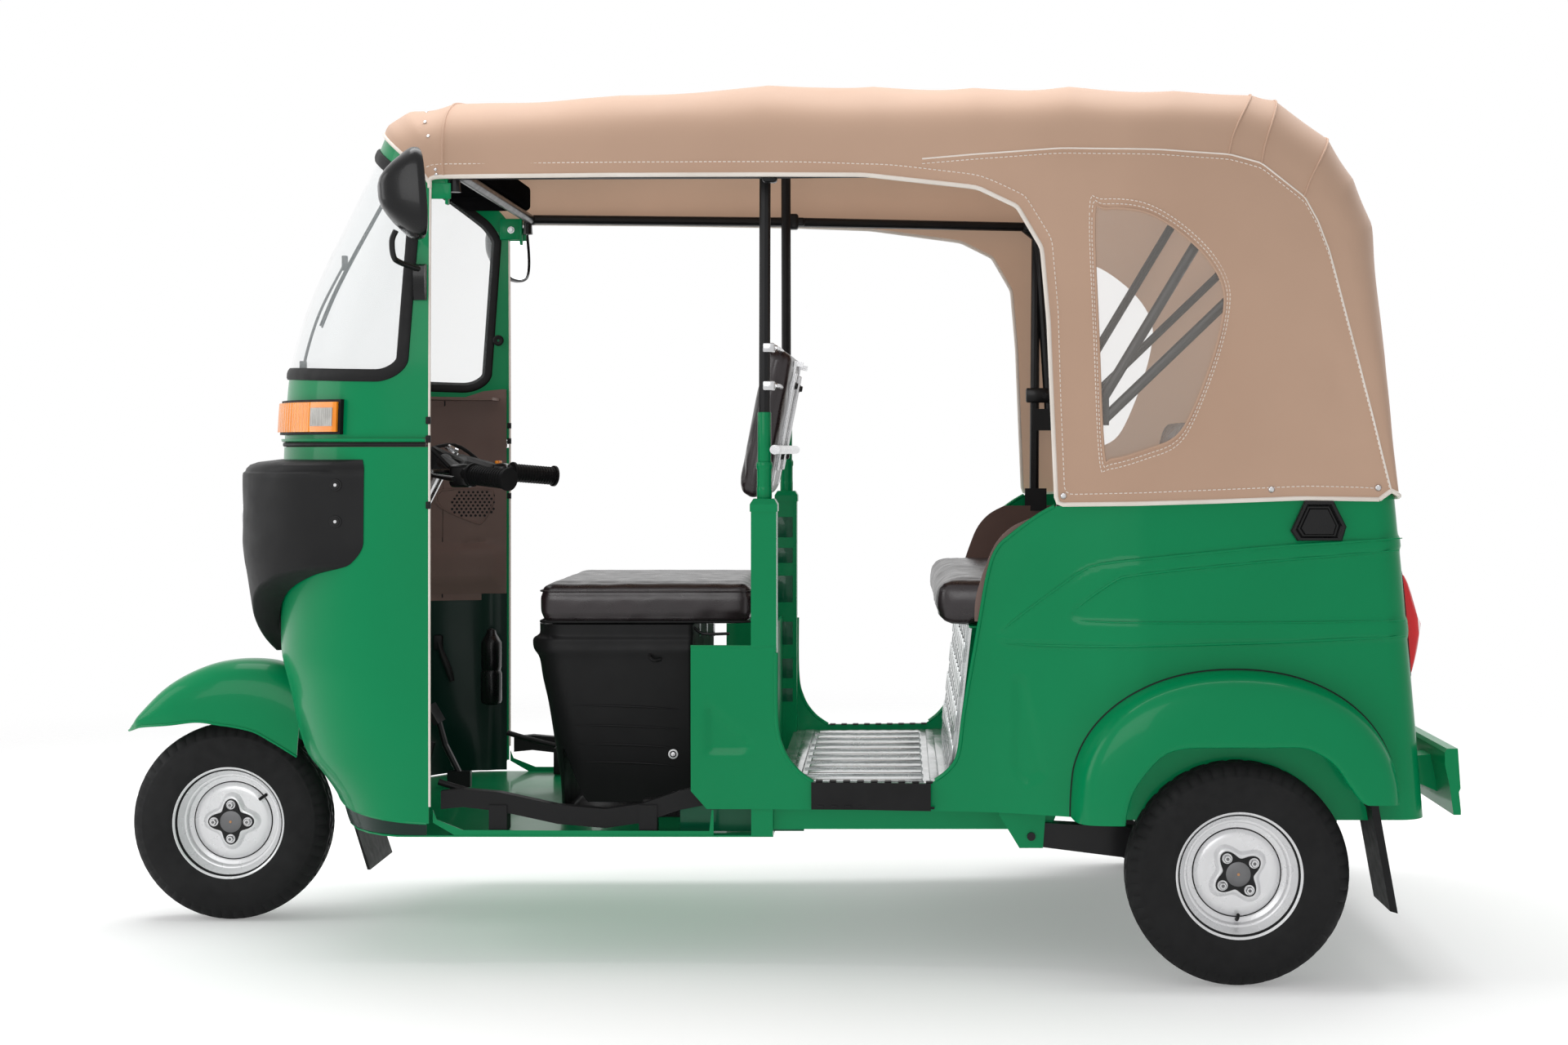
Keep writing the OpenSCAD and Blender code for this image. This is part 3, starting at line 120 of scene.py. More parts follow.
def finish(name, light, dark, patch=4.0, rough=(0.35, 0.45), bump=0.1, grain=600.0, kind="noise",
           depth=0.0003,
           **shader):
    made = bpy.data.materials.new(name)
    made.use_nodes = True
    tree = made.node_tree
    surface = tree.nodes["Principled BSDF"]
    place = node(tree, "TexCoord").outputs["Object"]

    def noise(scale, detail=4.0):
        made = node(tree, "TexNoise", Scale=scale, Detail=detail)
        tree.links.new(place, made.inputs["Vector"])
        return made.outputs["Fac"]

    tree.links.new(blendStops(tree, noise(patch), [(0.3, dark), (0.7, light)]), surface.inputs["Base Color"])
    tree.links.new(blendStops(tree, noise(patch * 3.1), [(0.3, rough[0]), (0.7, rough[1])]),
                   surface.inputs["Roughness"])
    if kind == "cells":
        cells = node(tree, "TexVoronoi", Scale=grain, feature="SMOOTH_F1", Smoothness=0.6)
        tree.links.new(place, cells.inputs["Vector"])
        height = cells.outputs["Distance"]
    elif kind == "weave":
        threads = []
        for direction in ("X", "Z"):
            wave = node(tree, "TexWave", Scale=grain, Distortion=0.6, bands_direction=direction)
            wave.inputs["Detail Scale"].default_value = 2.0
            tree.links.new(place, wave.inputs["Vector"])
            threads.append(wave.outputs["Fac"])
        crossed = node(tree, "Math", operation="MULTIPLY")
        for thread, socket in zip(threads, crossed.inputs):
            tree.links.new(thread, socket)
        height = crossed.outputs[0]
    else:
        height = noise(grain, 6.0)
    relief = node(tree, "Bump", Strength=bump, Distance=depth)
    tree.links.new(height, relief.inputs["Height"])
    tree.links.new(relief.outputs["Normal"], surface.inputs["Normal"])
    values = {"Specular_IOR_Level": 0.16, "Coat_IOR": 1.32} | shader
    for socket, value in values.items():
        surface.inputs[socket.replace("_", " ")].default_value = value
    return made


bodyPaint = finish("bodyPaint", (0.0, 0.232, 0.082), (0.0, 0.212, 0.073), 2.5, (0.30, 0.36), 0.03, 900,
                   Specular_IOR_Level=0.10, Coat_Weight=0.28, Coat_Roughness=0.07)
# A darker copy of the body green: painted shade, used on inner faces, slots and recesses that lie in shadow.
innerShadePaint = finish("innerShadePaint", (0.0, 0.10, 0.045), (0.0, 0.075, 0.033), 3.0, (0.30, 0.42), 0.05, 700,
                    Coat_Weight=0.5, Coat_Roughness=0.1)
# A near-black copy of the body green: painted shade, used in the cab's lower well and in the floor's grooves.
deepShadePaint = finish("deepShadePaint", (0.001, 0.022, 0.014), (0.0, 0.014, 0.009), 4.0, (0.32, 0.45), 0.05, 700,
                   Coat_Weight=0.4, Coat_Roughness=0.15)
hoodCloth = finish("hoodCloth", (0.560, 0.372, 0.270), (0.500, 0.328, 0.236), 1.6, (0.62, 0.74), 0.16, 520,
                   "weave",
                   0.0004, Sheen_Weight=0.12, Sheen_Roughness=0.6)
# The lining glows faintly: painted light that brightens the inside of the hood.
hoodLining = finish("hoodLining", (0.60, 0.42, 0.31), (0.52, 0.36, 0.26), 2.0, (0.8, 0.9), 0.2, 520, "weave",
                    0.0004,
                    Emission_Color=(0.50, 0.35, 0.26, 1), Emission_Strength=0.22)
piping = finish("piping", (0.86, 0.80, 0.74), (0.76, 0.69, 0.62), 9.0, (0.45, 0.55), 0.15, 900)
mouldedBlack = finish("mouldedBlack", (0.0105, 0.0105, 0.011), (0.0075, 0.0075, 0.008), 7.0, (0.42, 0.54),
                      0.22, 900,
                      "cells", 0.0002)
glossBlack = finish("glossBlack", (0.0075, 0.0075, 0.008), (0.005, 0.005, 0.0055), 9.0, (0.24, 0.34), 0.05,
                    800,
                    Coat_Weight=0.4, Coat_Roughness=0.1)
tubePaint = finish("tubePaint", (0.008, 0.008, 0.009), (0.006, 0.006, 0.0065), 12.0, (0.30, 0.42), 0.06, 900,
                   Coat_Weight=0.3, Coat_Roughness=0.15)
brownLining = finish("brownLining", (0.190, 0.128, 0.112), (0.158, 0.105, 0.092), 6.0, (0.50, 0.62), 0.3, 800,
                     "cells",
                     0.0003)
seatLeather = finish("seatLeather", (0.020, 0.0125, 0.0145), (0.013, 0.008, 0.010), 10.0, (0.25, 0.36), 0.22,
                     420,
                     "cells", 0.0005, Specular_IOR_Level=0.5)
tyreRubber = finish("tyreRubber", (0.0125, 0.0125, 0.013), (0.0085, 0.0085, 0.009), 14.0, (0.55, 0.72), 0.2,
                    900, "noise",
                    0.0003)
softRubber = finish("softRubber", (0.010, 0.010, 0.0105), (0.007, 0.007, 0.0075), 14.0, (0.48, 0.6), 0.15,
                    900)
rimPaint = finish("rimPaint", (0.80, 0.80, 0.81), (0.72, 0.72, 0.735), 8.0, (0.24, 0.34), 0.06, 900, "noise",
                  0.0002,
                  Metallic=0.25, Coat_Weight=0.4, Coat_Roughness=0.1)
steelBright = finish("steelBright", (0.62, 0.62, 0.63), (0.5, 0.5, 0.51), 14.0, (0.18, 0.32), 0.1, 700,
                     "noise", 0.0002,
                     Metallic=1.0)
castGrey = finish("castGrey", (0.20, 0.20, 0.205), (0.13, 0.13, 0.135), 10.0, (0.45, 0.6), 0.4, 400, "noise",
                  0.0006,
                  Metallic=0.6)
amberLens = finish("amberLens", (0.93, 0.30, 0.012), (0.86, 0.24, 0.008), 12.0, (0.10, 0.18), 0.05, 300,
                   Coat_Weight=1.0, Coat_Roughness=0.03)
redLens = finish("redLens", (0.72, 0.008, 0.012), (0.62, 0.004, 0.008), 12.0, (0.10, 0.18), 0.05, 300,
                 Coat_Weight=1.0, Coat_Roughness=0.03)
clearLens = finish("clearLens", (0.56, 0.55, 0.52), (0.38, 0.37, 0.35), 30.0, (0.12, 0.22), 0.3, 200, "cells",
                   0.001,
                   Coat_Weight=1.0, Coat_Roughness=0.03)
mirrorGlass = finish("mirrorGlass", (0.86, 0.87, 0.88), (0.82, 0.83, 0.85), 5.0, (0.02, 0.04), 0.0, 100,
                     Metallic=1.0)
copperCoat = finish("copperCoat", (0.55, 0.30, 0.16), (0.42, 0.22, 0.11), 12.0, (0.3, 0.45), 0.1, 500,
                    Metallic=0.8)


def clearFinish(name, tint, gloss, share):
    # Thin clear sheet: mostly see-through with a soft shine.
    made = finish(name, tint, tint, 3.0, (gloss, gloss + 0.04), 0.03, 60, "noise", 0.001)
    surface = made.node_tree.nodes["Principled BSDF"]
    surface.inputs["Alpha"].default_value = share
    surface.inputs["Coat Weight"].default_value = 0.6
    return made


screenGlass = clearFinish("screenGlass", (0.80, 0.88, 0.90), 0.03, 0.10)
windowSheet = clearFinish("windowSheet", (0.88, 0.84, 0.80), 0.10, 0.09)
print("finishes ready")

slotFinish = {
    "body_green": bodyPaint, "hood_tan": hoodCloth, "black_plastic": mouldedBlack,
              "lining_brown": brownLining,
    "seat_leather": seatLeather, "rim_silver": rimPaint, "frame_black": tubePaint, "amber": amberLens,
    "red": redLens, "clear": screenGlass, "tyre": tyreRubber, "engine_metal": castGrey,
              "bright_metal": steelBright,
    "rubber": softRubber}
for part in frame["record"]["subparts"]:
    kept = nodes[part["node"]]
    kept.data.materials.clear()
    kept.data.materials.append(slotFinish[part["material_slot"]])


# Shapes: each function returns points and faces, in millimetres.

def gridNormals(grid):
    across = np.gradient(grid, axis=1)
    along = np.gradient(grid, axis=0)
    normal = np.cross(along, across)
    return normal / np.maximum(np.linalg.norm(normal, axis=2, keepdims=True), 1e-9)


def slab(grid, thick, loop=False, keep=None, back=None):
    # A sheet behind the grid. loop joins the last column to the first; keep drops faces where it is false.
    grid = np.asarray(grid, float)
    rows, columns = grid.shape[:2]
    if back is None:
        if loop:
            wide = np.concatenate([grid[:, -2:], grid, grid[:, :2]], axis=1)
            back = grid - thick * gridNormals(wide)[:, 2:-2]
        else:
            back = grid - thick * gridNormals(grid)
    points = np.concatenate([grid.reshape(-1, 3), np.asarray(back, float).reshape(-1, 3)])
    count = rows * columns
    faces = []
    rim = {}
    for i in range(rows - 1):
        for j in range(columns if loop else columns - 1):
            if keep is not None and not keep[i][j]:
                continue
            k = (j + 1) % columns
            quad = (i * columns + j, i * columns + k, (i + 1) * columns + k, (i + 1) * columns + j)
            faces.append(quad)
            faces.append(tuple(q + count for q in reversed(quad)))
            for a, b in zip(quad, quad[1:] + quad[:1]):
                if (b, a) in rim:
                    del rim[(b, a)]
                else:
                    rim[(a, b)] = True
    faces += [(b, a, a + count, b + count) for a, b in rim]
    return points, faces


def circle(parts):
    return np.linspace(0, 2 * math.pi, parts, endpoint=False)


def loft(rings, cap=True):
    rings = np.asarray(rings, float)
    rows, count = rings.shape[:2]
    faces = [(i * count + j, i * count + (j + 1) % count, (i + 1) * count + (j + 1) % count,
              (i + 1) * count + j)
             for i in range(rows - 1) for j in range(count)]
    if cap:
        faces += [tuple(range(count))[::-1], tuple(range((rows - 1) * count, rows * count))]
    return rings.reshape(-1, 3), faces


def smoothPath(path, parts=6, closed=False):
    # A curve through the points, with parts steps between each two.
    path = np.asarray(path, float)
    n = len(path)
    if parts <= 1 or n < 3:
        return path
    out = []
    for i in range(n if closed else n - 1):
        p = [path[k % n] if closed else path[min(max(k, 0), n - 1)] for k in range(i - 1, i + 3)]
        for k in range(parts):
            s = k / parts
            out.append(0.5 * (2 * p[1] + (p[2] - p[0]) * s + (2 * p[0] - 5 * p[1] + 4 * p[2] - p[3]) * s * s
                              + (3 * p[1] - p[0] - 3 * p[2] + p[3]) * s ** 3))
    if not closed:
        out.append(path[-1])
    return np.array(out)


def pathFrames(path, closed=False):
    # Unit tangents, sides and ups along a path, without twist.
    n = len(path)
    if closed:
        tangent = np.roll(path, -1, 0) - np.roll(path, 1, 0)
    else:
        tangent = np.gradient(path, axis=0)
    tangent = tangent / np.maximum(np.linalg.norm(tangent, axis=1, keepdims=True), 1e-9)
    start = np.cross(tangent[0], (0.0, 0.0, 1.0) if abs(tangent[0][2]) < 0.9 else (0.0, 1.0, 0.0))
    sides = [start / np.linalg.norm(start)]
    for i in range(1, n):
        side = sides[-1] - tangent[i] * np.dot(sides[-1], tangent[i])
        sides.append(side / max(np.linalg.norm(side), 1e-9))
    sides = np.array(sides)
    return tangent, sides, np.cross(tangent, sides)


def tube(path, radius, sides=14, parts=6, closed=False):
    path = smoothPath(path, parts, closed)
    tangent, side, up = pathFrames(path, closed)
    radius = np.broadcast_to(np.asarray(radius, float), (len(path),)) if np.ndim(radius) == 0 else np.interp(
        np.linspace(0, 1, len(path)), np.linspace(0, 1, len(radius)), radius)
    turn = circle(sides)
    rings = [p + r * (np.outer(np.cos(turn), s) + np.outer(np.sin(turn), u))
             for p, r, s, u in zip(path, radius, side, up)]
    if closed:
        rings.append(rings[0])
    return loft(rings, not closed)


def sweep(path, side, up, profile):
    # A strip of one profile [(across, height)] along a path with given side and up directions.
    profile = np.asarray(profile, float)
    rings = [p + np.outer(profile[:, 0], s) + np.outer(profile[:, 1], u) for p, s, u in zip(path, side, up)]
    return loft(rings, True)


def lathe(profile, centre=(0, 0, 0), parts=48, axis="y"):
    # A closed outline of (radius, place along the axis) turned round the axis.
    turn = circle(parts)
    rings = []
    for a in turn:
        rows = [(r * math.cos(a), h, r * math.sin(a)) for r, h in profile]
        if axis == "x":
            rows = [(h, r * math.cos(a), r * math.sin(a)) for r, h in profile]
        if axis == "z":
            rows = [(r * math.cos(a), r * math.sin(a), h) for r, h in profile]
        rings.append(np.array(rows) + centre)
    rings.append(rings[0])
    return loft(rings, False)


def prism(outline, low, high, axis="y"):
    # An outline pushed through along an axis.
    rows = []
    for h in (low, high):
        rows.append([{"y": (a, h, b), "x": (h, a, b), "z": (a, b, h)}[axis] for a, b in outline])
    return loft(rows)


def block(low, high, radius=2.0, parts=2):
    # A box with rounded edges.
    low, high = np.array(low, float), np.array(high, float)
    shape = bmesh.new()
    bmesh.ops.create_cube(shape, size=1.0)
    for v in shape.verts:
        v.co = Vector((low + high) / 2) + Vector([v.co[i] * (high - low)[i] for i in range(3)])
    radius = min(radius, min(high - low) * 0.45)
    if radius > 0:
        bmesh.ops.bevel(shape, geom=shape.edges[:], offset=radius, segments=parts, profile=0.5,
                        affect="EDGES")
    shape.verts.index_update()
    points = np.array([v.co[:] for v in shape.verts])
    faces = [tuple(v.index for v in f.verts) for f in shape.faces]
    shape.free()
    return points, faces


def join(*shapes):
    points, faces, start = [], [], 0
    for p, f in shapes:
        points.append(np.asarray(p, float).reshape(-1, 3))
        faces += [tuple(k + start for k in face) for face in f]
        start += len(points[-1])
    return np.concatenate(points), faces


def moved(shape, offset=(0, 0, 0), turn=(0, 0, 0), scale=1.0):
    # The shape scaled, turned about X, Y and Z in degrees, then moved.
    matrix = Matrix.Identity(3)
    for axis, angle in zip("XYZ", turn):
        matrix = Matrix.Rotation(math.radians(angle), 3, axis) @ matrix
    return np.asarray(shape[0]) * scale @ np.array(matrix).T + offset, shape[1]


def flip(shape):
    # The same shape on the other side of the vehicle.
    return np.asarray(shape[0]) * (1, -1, 1), [tuple(reversed(f)) for f in shape[1]]


def both(shape):
    return join(shape, flip(shape))


def bolt(place, aim, width=12.0, tall=6.0, washer=1.5):
    # A hex head on a washer, pointing along aim.
    turn = circle(6)
    fine = circle(20)
    rings = lambda angles, rows: loft([[(r * math.cos(a), r * math.sin(a), h) for a in angles]
            for r, h in rows])
    shape = join(rings(fine, [(width * 0.72, 0), (width * 0.72, washer)]),
                 rings(turn, [(width * 0.56, washer), (width * 0.56, tall * 0.8), (width * 0.46, tall)]))
    matrix = Vector((0, 0, 1)).rotation_difference(Vector(aim)).to_matrix()
    return np.asarray(shape[0]) @ np.array(matrix).T + place, shape[1]


# Making objects out of shapes.

def meshObject(name, shape):
    mesh = bpy.data.meshes.new(name)
    mesh.from_pydata((np.asarray(shape[0]) * mm).tolist(), [], shape[1])
    made = bpy.data.objects.new(name, mesh)
    scene.collection.objects.link(made)
    return made


def newPiece(name, parts, body="body", sharp=32, replaced=()):
    # parts is a list of (shape, finish), or (slab, finish, finish of its back); the object rides on a body.
    piece = meshObject(name, join(*[part[0] for part in parts]))
    mesh = piece.data
    finishes = []
    which = []
    for shape, *made in parts:
        half = len(shape[0]) / 2
        finishes += [m for m in made if m not in finishes]
        which += [finishes.index(made[-1] if min(face) >= half else made[0]) for face in shape[1]]
    for made in finishes:
        mesh.materials.append(made)
    mesh.polygons.foreach_set("material_index", which)
    tidyMesh(mesh, sharp)
    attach(piece, body)
    if replaced:
        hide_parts(*replaced)
    return piece


def tidyMesh(mesh, sharp=32):
    shape = bmesh.new()
    shape.from_mesh(mesh)
    bmesh.ops.remove_doubles(shape, verts=shape.verts, dist=2e-6)
    bmesh.ops.dissolve_degenerate(shape, edges=shape.edges, dist=1e-6)
    bmesh.ops.recalc_face_normals(shape, faces=shape.faces)
    shape.to_mesh(mesh)
    shape.free()
    mesh.polygons.foreach_set("use_smooth", [True] * len(mesh.polygons))
    mesh.set_sharp_from_angle(angle=math.radians(sharp))


def bake(piece, sharp=32):
    # Takes the piece's modifiers into its mesh.
    bpy.context.view_layer.update()
    made = bpy.data.meshes.new_from_object(piece.evaluated_get(bpy.context.evaluated_depsgraph_get()))
    piece.modifiers.clear()
    piece.data = made
    made.set_sharp_from_angle(angle=math.radians(sharp))
    return piece


def soften(piece, width=1.0, parts=2, angle=34):
    # Rounds the sharp edges.
    rounding = piece.modifiers.new("rounding", "BEVEL")
    rounding.width = width * mm
    rounding.segments = parts
    rounding.limit_method = "ANGLE"
    rounding.angle_limit = math.radians(angle)
    rounding.harden_normals = False
    return piece


def cut(piece, shape, how="DIFFERENCE"):
    tool = meshObject("cutter", shape)
    tidyMesh(tool.data)
    work = piece.modifiers.new("cut", "BOOLEAN")
    work.operation = how
    work.object = tool
    work.solver = "EXACT"
    bake(piece)
    bpy.data.objects.remove(tool)
    return piece


for kept in nodes.values():
    soften(kept, 1.2, 2)


# Floor, light and camera.

stageSizes = {
    "floorHalf": 9000, "floorShade": 0.86, "floorGlow": 0.2,
    "fadeStart": 2.6, "fadeEnd": 4.6,          # metres from the middle; the floor fades out between them
    "skyPower": 0.42,
    # each light: place, aim, width, height, power, whether it throws shadows
    "lights": {
        "overhead": ((0.0, 0.5, 4.4), (0, 0, 0), 5.0, 2.6, 185, True),
        "sideFill": ((-1.6, -5.2, 2.6), (0, 0, 0.8), 3.6, 2.4, 80, False),
        "frontFill": ((-4.6, -0.8, 2.2), (-0.6, 0, 0.9), 2.0, 2.6, 45, True),
        "backFill": ((3.6, 3.4, 3.0), (0.4, 0, 0.8), 3.0, 2.4, 45, True)},
    "lens": 51.32, "sensor": 36, "shift": (-0.0729, -0.0458), "eyeAt": (0.283, -4.660, 0.973)}
half = stageSizes["floorHalf"]
floor = meshObject("floorSheet", ([(-half, -half, 0), (half, -half, 0), (half, half, 0), (-half, half, 0)],
                                  [(0, 1, 2, 3)]))
floor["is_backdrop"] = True
floorPaint = bpy.data.materials.new("floorPaint")
floorPaint.use_nodes = True
tree = floorPaint.node_tree
tree.nodes.clear()
out = node(tree, "OutputMaterial")
diffuse = node(tree, "BsdfDiffuse", Color=(*[stageSizes["floorShade"]] * 3, 1))
glow = node(tree, "Emission", Color=(1, 1, 1, 1), Strength=stageSizes["floorGlow"])
lit = node(tree, "AddShader")
clear = node(tree, "BsdfTransparent")
fade = node(tree, "MixShader")
place = node(tree, "TexCoord")
size = node(tree, "VectorMath", operation="LENGTH")
spread = node(tree, "MapRange")
spread.inputs["From Min"].default_value = stageSizes["fadeStart"]
spread.inputs["From Max"].default_value = stageSizes["fadeEnd"]
spread.interpolation_type = "SMOOTHSTEP"
wire(tree, (diffuse, 0, lit, 0), (glow, 0, lit, 1), (place, "Object", size, 0),
     (size, "Value", spread, "Value"),
     (spread, 0, fade, 0), (lit, 0, fade, 1), (clear, 0, fade, 2), (fade, 0, out, "Surface"))
floor.data.materials.append(floorPaint)

world = bpy.data.worlds.new("studio")
scene.world = world
world.use_nodes = True
tree = world.node_tree
tree.nodes.clear()
out = node(tree, "OutputWorld")
rays = node(tree, "LightPath")
seen = node(tree, "Math", operation="MAXIMUM")
seenAll = node(tree, "Math", operation="MAXIMUM")
sky = node(tree, "Background", Color=(1, 1, 1, 1), Strength=stageSizes["skyPower"])
white = node(tree, "Background", Color=(1, 1, 1, 1), Strength=1.0)
mixer = node(tree, "MixShader")
wire(tree, (rays, "Is Camera Ray", seen, 0), (rays, "Is Transmission Ray", seen, 1), (seen, 0, seenAll, 0),
     (rays, "Is Glossy Ray", seenAll, 1), (seenAll, 0, mixer, 0), (sky, 0, mixer, 1), (white, 0, mixer, 2),
     (mixer, 0, out, "Surface"))


def softLight(name, place, aim, width, height, power, shades):
    lamp = bpy.data.lights.new(name, "AREA")
    lamp.shape = "RECTANGLE"
    lamp.size, lamp.size_y, lamp.energy = width, height, power
    lamp.use_shadow = shades
    holder = bpy.data.objects.new(name, lamp)
    holder.location = place
    holder.rotation_euler = (Vector(aim) - Vector(place)).to_track_quat("-Z", "Y").to_euler()
    scene.collection.objects.link(holder)


for name, values in stageSizes["lights"].items():
    softLight(name, *values)

eye = bpy.data.cameras.new("eye")
eye.lens, eye.sensor_width = stageSizes["lens"], stageSizes["sensor"]
eye.shift_x, eye.shift_y = stageSizes["shift"]
holder = bpy.data.objects.new("eye", eye)
holder.location = stageSizes["eyeAt"]
holder.rotation_euler = (math.radians(90), 0, 0)
scene.collection.objects.link(holder)
scene.camera = holder
scene.view_settings.view_transform = "Standard"
print("stage ready")


# The cab's own surface.

def spow(v, e):
    return np.sign(v) * np.abs(v) ** e


def smoothTable(rows):
    # Reads a smooth curve through the rows that never overshoots them.
    keys, values = np.array(rows, float).T
    gap = np.diff(keys)
    rise = np.diff(values) / gap
    lean = np.zeros(len(keys))
    lean[0], lean[-1] = rise[0], rise[-1]
    for i in range(1, len(keys) - 1):
        if rise[i - 1] * rise[i] > 0:
            a, b = 2 * gap[i] + gap[i - 1], gap[i] + 2 * gap[i - 1]
            lean[i] = (a + b) / (a / rise[i - 1] + b / rise[i])

    def read(x):
        x = np.clip(x, keys[0], keys[-1])
        i = np.clip(np.searchsorted(keys, x) - 1, 0, len(keys) - 2)
        s = (x - keys[i]) / gap[i]
        return (values[i] * (1 + 2 * s) * (1 - s) ** 2 + values[i + 1] * s * s * (3 - 2 * s)
                + gap[i] * (lean[i] * s * (1 - s) ** 2 - lean[i + 1] * s * s * (1 - s)))
    return read


def plainTable(rows):
    keys, values = np.array(rows, float).T
    return lambda x: np.interp(x, keys, values)


cabSizes = {
    "reach": [(241, 225), (294, 247), (339, 282), (376, 314), (496, 348), (592, 369), (664, 369), (780, 368),
              (996, 361), (1121, 351), (1620, 126)],
    "breadth": [(241, 438), (996, 440), (1121, 439), (1620, 426)],
    "power": 2 / 2.4, "pillarTop": 1490, "crown": 130, "seam": 996}
cabReach = smoothTable(cabSizes["reach"])
cabBreadth = smoothTable(cabSizes["breadth"])


def cabPoint(t, z, d=0.0):
    # The cab's outer face at plan angle t in degrees and height z, d inside it.
    t, z, d = np.broadcast_arrays(np.asarray(t, float), np.asarray(z, float), np.asarray(d, float))
    a = np.radians(t)
    power = cabSizes["power"]
    return np.stack([cabX - (cabReach(z) - d) * spow(np.cos(a), power),
                     (cabBreadth(z) - d) * spow(np.sin(a), power), z], axis=-1)


def cabNormal(t, z):
    alongT = cabPoint(np.asarray(t) + 0.4, z) - cabPoint(np.asarray(t) - 0.4, z)
    alongZ = cabPoint(t, np.asarray(z) + 2) - cabPoint(t, np.asarray(z) - 2)
    normal = np.cross(alongZ, alongT)
    return normal / np.linalg.norm(normal, axis=-1, keepdims=True)


def headerZ(t):
    return cabSizes["pillarTop"] + cabSizes["crown"] * np.abs(np.cos(np.radians(t))) ** 0.6


# Cowl: one sheet with the wheel opening left out below.
cowlSizes = {"openEdge": 25.0, "openTop": 640, "top": 980, "lowRows": 34, "highRows": 26,
             "foot": [(0, 296), (25.0, 294), (45, 283), (70, 274), (90, 268)], "bead": 2.6}
openEdge, openTop, lowRows = cowlSizes["openEdge"], cowlSizes["openTop"], cowlSizes["lowRows"]
turns = np.concatenate([np.linspace(-90, -openEdge, 40), np.linspace(-openEdge, openEdge, 41)[1:-1],
                        np.linspace(openEdge, 90, 40)])
cowlFoot = smoothTable(cowlSizes["foot"])
rows = []
for i in range(lowRows + cowlSizes["highRows"] + 1):
    if i <= lowRows:
        z = cowlFoot(np.abs(turns)) * (1 - i / lowRows) + openTop * i / lowRows
    else:
        up = (cowlSizes["top"] - openTop) * (i - lowRows) / cowlSizes["highRows"]
        z = np.full(len(turns), openTop + up)
    rows.append(cabPoint(turns, z, 0))
keep = [[not (i < lowRows and abs(turns[j] + turns[j + 1]) / 2 < openEdge) for j in range(len(turns) - 1)]
        for i in range(lowRows + cowlSizes["highRows"])]
newPiece("frontCowl", [(slab(np.array(rows), wall, keep=keep), bodyPaint)], replaced=["front_cowl"])

# Rolled edges of the wheel opening and of the foot of the cowl.
lip = cabPoint(np.full(24, openEdge), np.linspace(296, openTop, 24), 2.0)
foot = cabPoint(np.linspace(openEdge, 89.5, 40), cowlFoot(np.linspace(openEdge, 89.5, 40)), 2.0)
top = cabPoint(np.linspace(-openEdge, openEdge, 20), openTop, 2.0)
beads = [both(tube(line, cowlSizes["bead"], 8, 1))
         for line in (lip, foot)] + [tube(top, cowlSizes["bead"], 8, 1)]
newPiece("cowlBeads", [(bead, bodyPaint) for bead in beads])

# Black joint strip between the cowl and the screen frame, with a green lip over it.
turns = np.linspace(-89.6, 89.6, 120)
normal = cabNormal(turns, 990)
up = np.broadcast_to([0, 0, 1.0], normal.shape)
newPiece("cabJointStrip", [
    (sweep(cabPoint(turns, 985), up, normal, [(-4, -4), (-4, 1), (-2, 3), (2, 3), (4, 1), (4, -4)]),
     softRubber),
    (sweep(cabPoint(turns, 992.5), up, normal, [(-3, -3), (-3, 3), (-1, 6), (3.4, 6.5), (3.6, -3)]),
     bodyPaint)])

# Screen opening: a rounded outline in the cab's own angle and height.
screenSizes = {
    "low": 1108, "cornerU": 0.10, "cornerLow": 0.22, "cornerTop": 0.13, "topBand": 45,
    "glassThick": 3.6, "glassDeep": 1.2,
    # the rubber's section: (towards the opening, out of the skin)
    "seal": [(-5, 0.4), (-4.4, 3.4), (-1, 5.2), (7, 5.6), (13, 4.6), (18.5, 1.6), (19, -1.5), (12, -5.5),
             (0, -6.5), (-3, -5)]}


def screenAt(u, v):
    # Angle and height at u across (-1 to 1) and v up (-1 to 1) of the screen opening.
    z = np.full(np.shape(u), 1300.0) + 0 * v
    for _ in range(8):
        back = 46 - 26 * np.clip((z - 1104) / 346, 0, 1)
        limit = np.degrees(np.arccos(np.clip(back / cabReach(z), 0, 1) ** (1 / cabSizes["power"])))
        t = u * limit
        low = screenSizes["low"] + 13 * np.cos(np.radians(t)) ** 2
        high = headerZ(t) - screenSizes["topBand"]
        z = low + (high - low) * (v + 1) / 2
    return t, z


def roundSquare(side=50, corner=14):
    # Rounded outline from -1 to 1, counter-clockwise from the lower left.
    a, low, top = screenSizes["cornerU"], screenSizes["cornerLow"], screenSizes["cornerTop"]
    points = []
    for x0, y0, x1, y1, cx, cy, rx, ry, start in (
            (-1 + a, -1, 1 - a, -1, 1 - a, -1 + low, a, low, 270),
            (1, -1 + low, 1, 1 - top, 1 - a, 1 - top, a, top, 0),
            (1 - a, 1, -1 + a, 1, -1 + a, 1 - top, a, top, 90),
            (-1, 1 - top, -1, -1 + low, -1 + a, -1 + low, a, low, 180)):
        for k in np.linspace(0, 1, side, endpoint=False):
            points.append((x0 + (x1 - x0) * k, y0 + (y1 - y0) * k))
        for k in np.linspace(0, 90, corner, endpoint=False):
            b = math.radians(start + k)
            points.append((cx + rx * math.cos(b), cy + ry * math.sin(b)))
    return np.array(points)


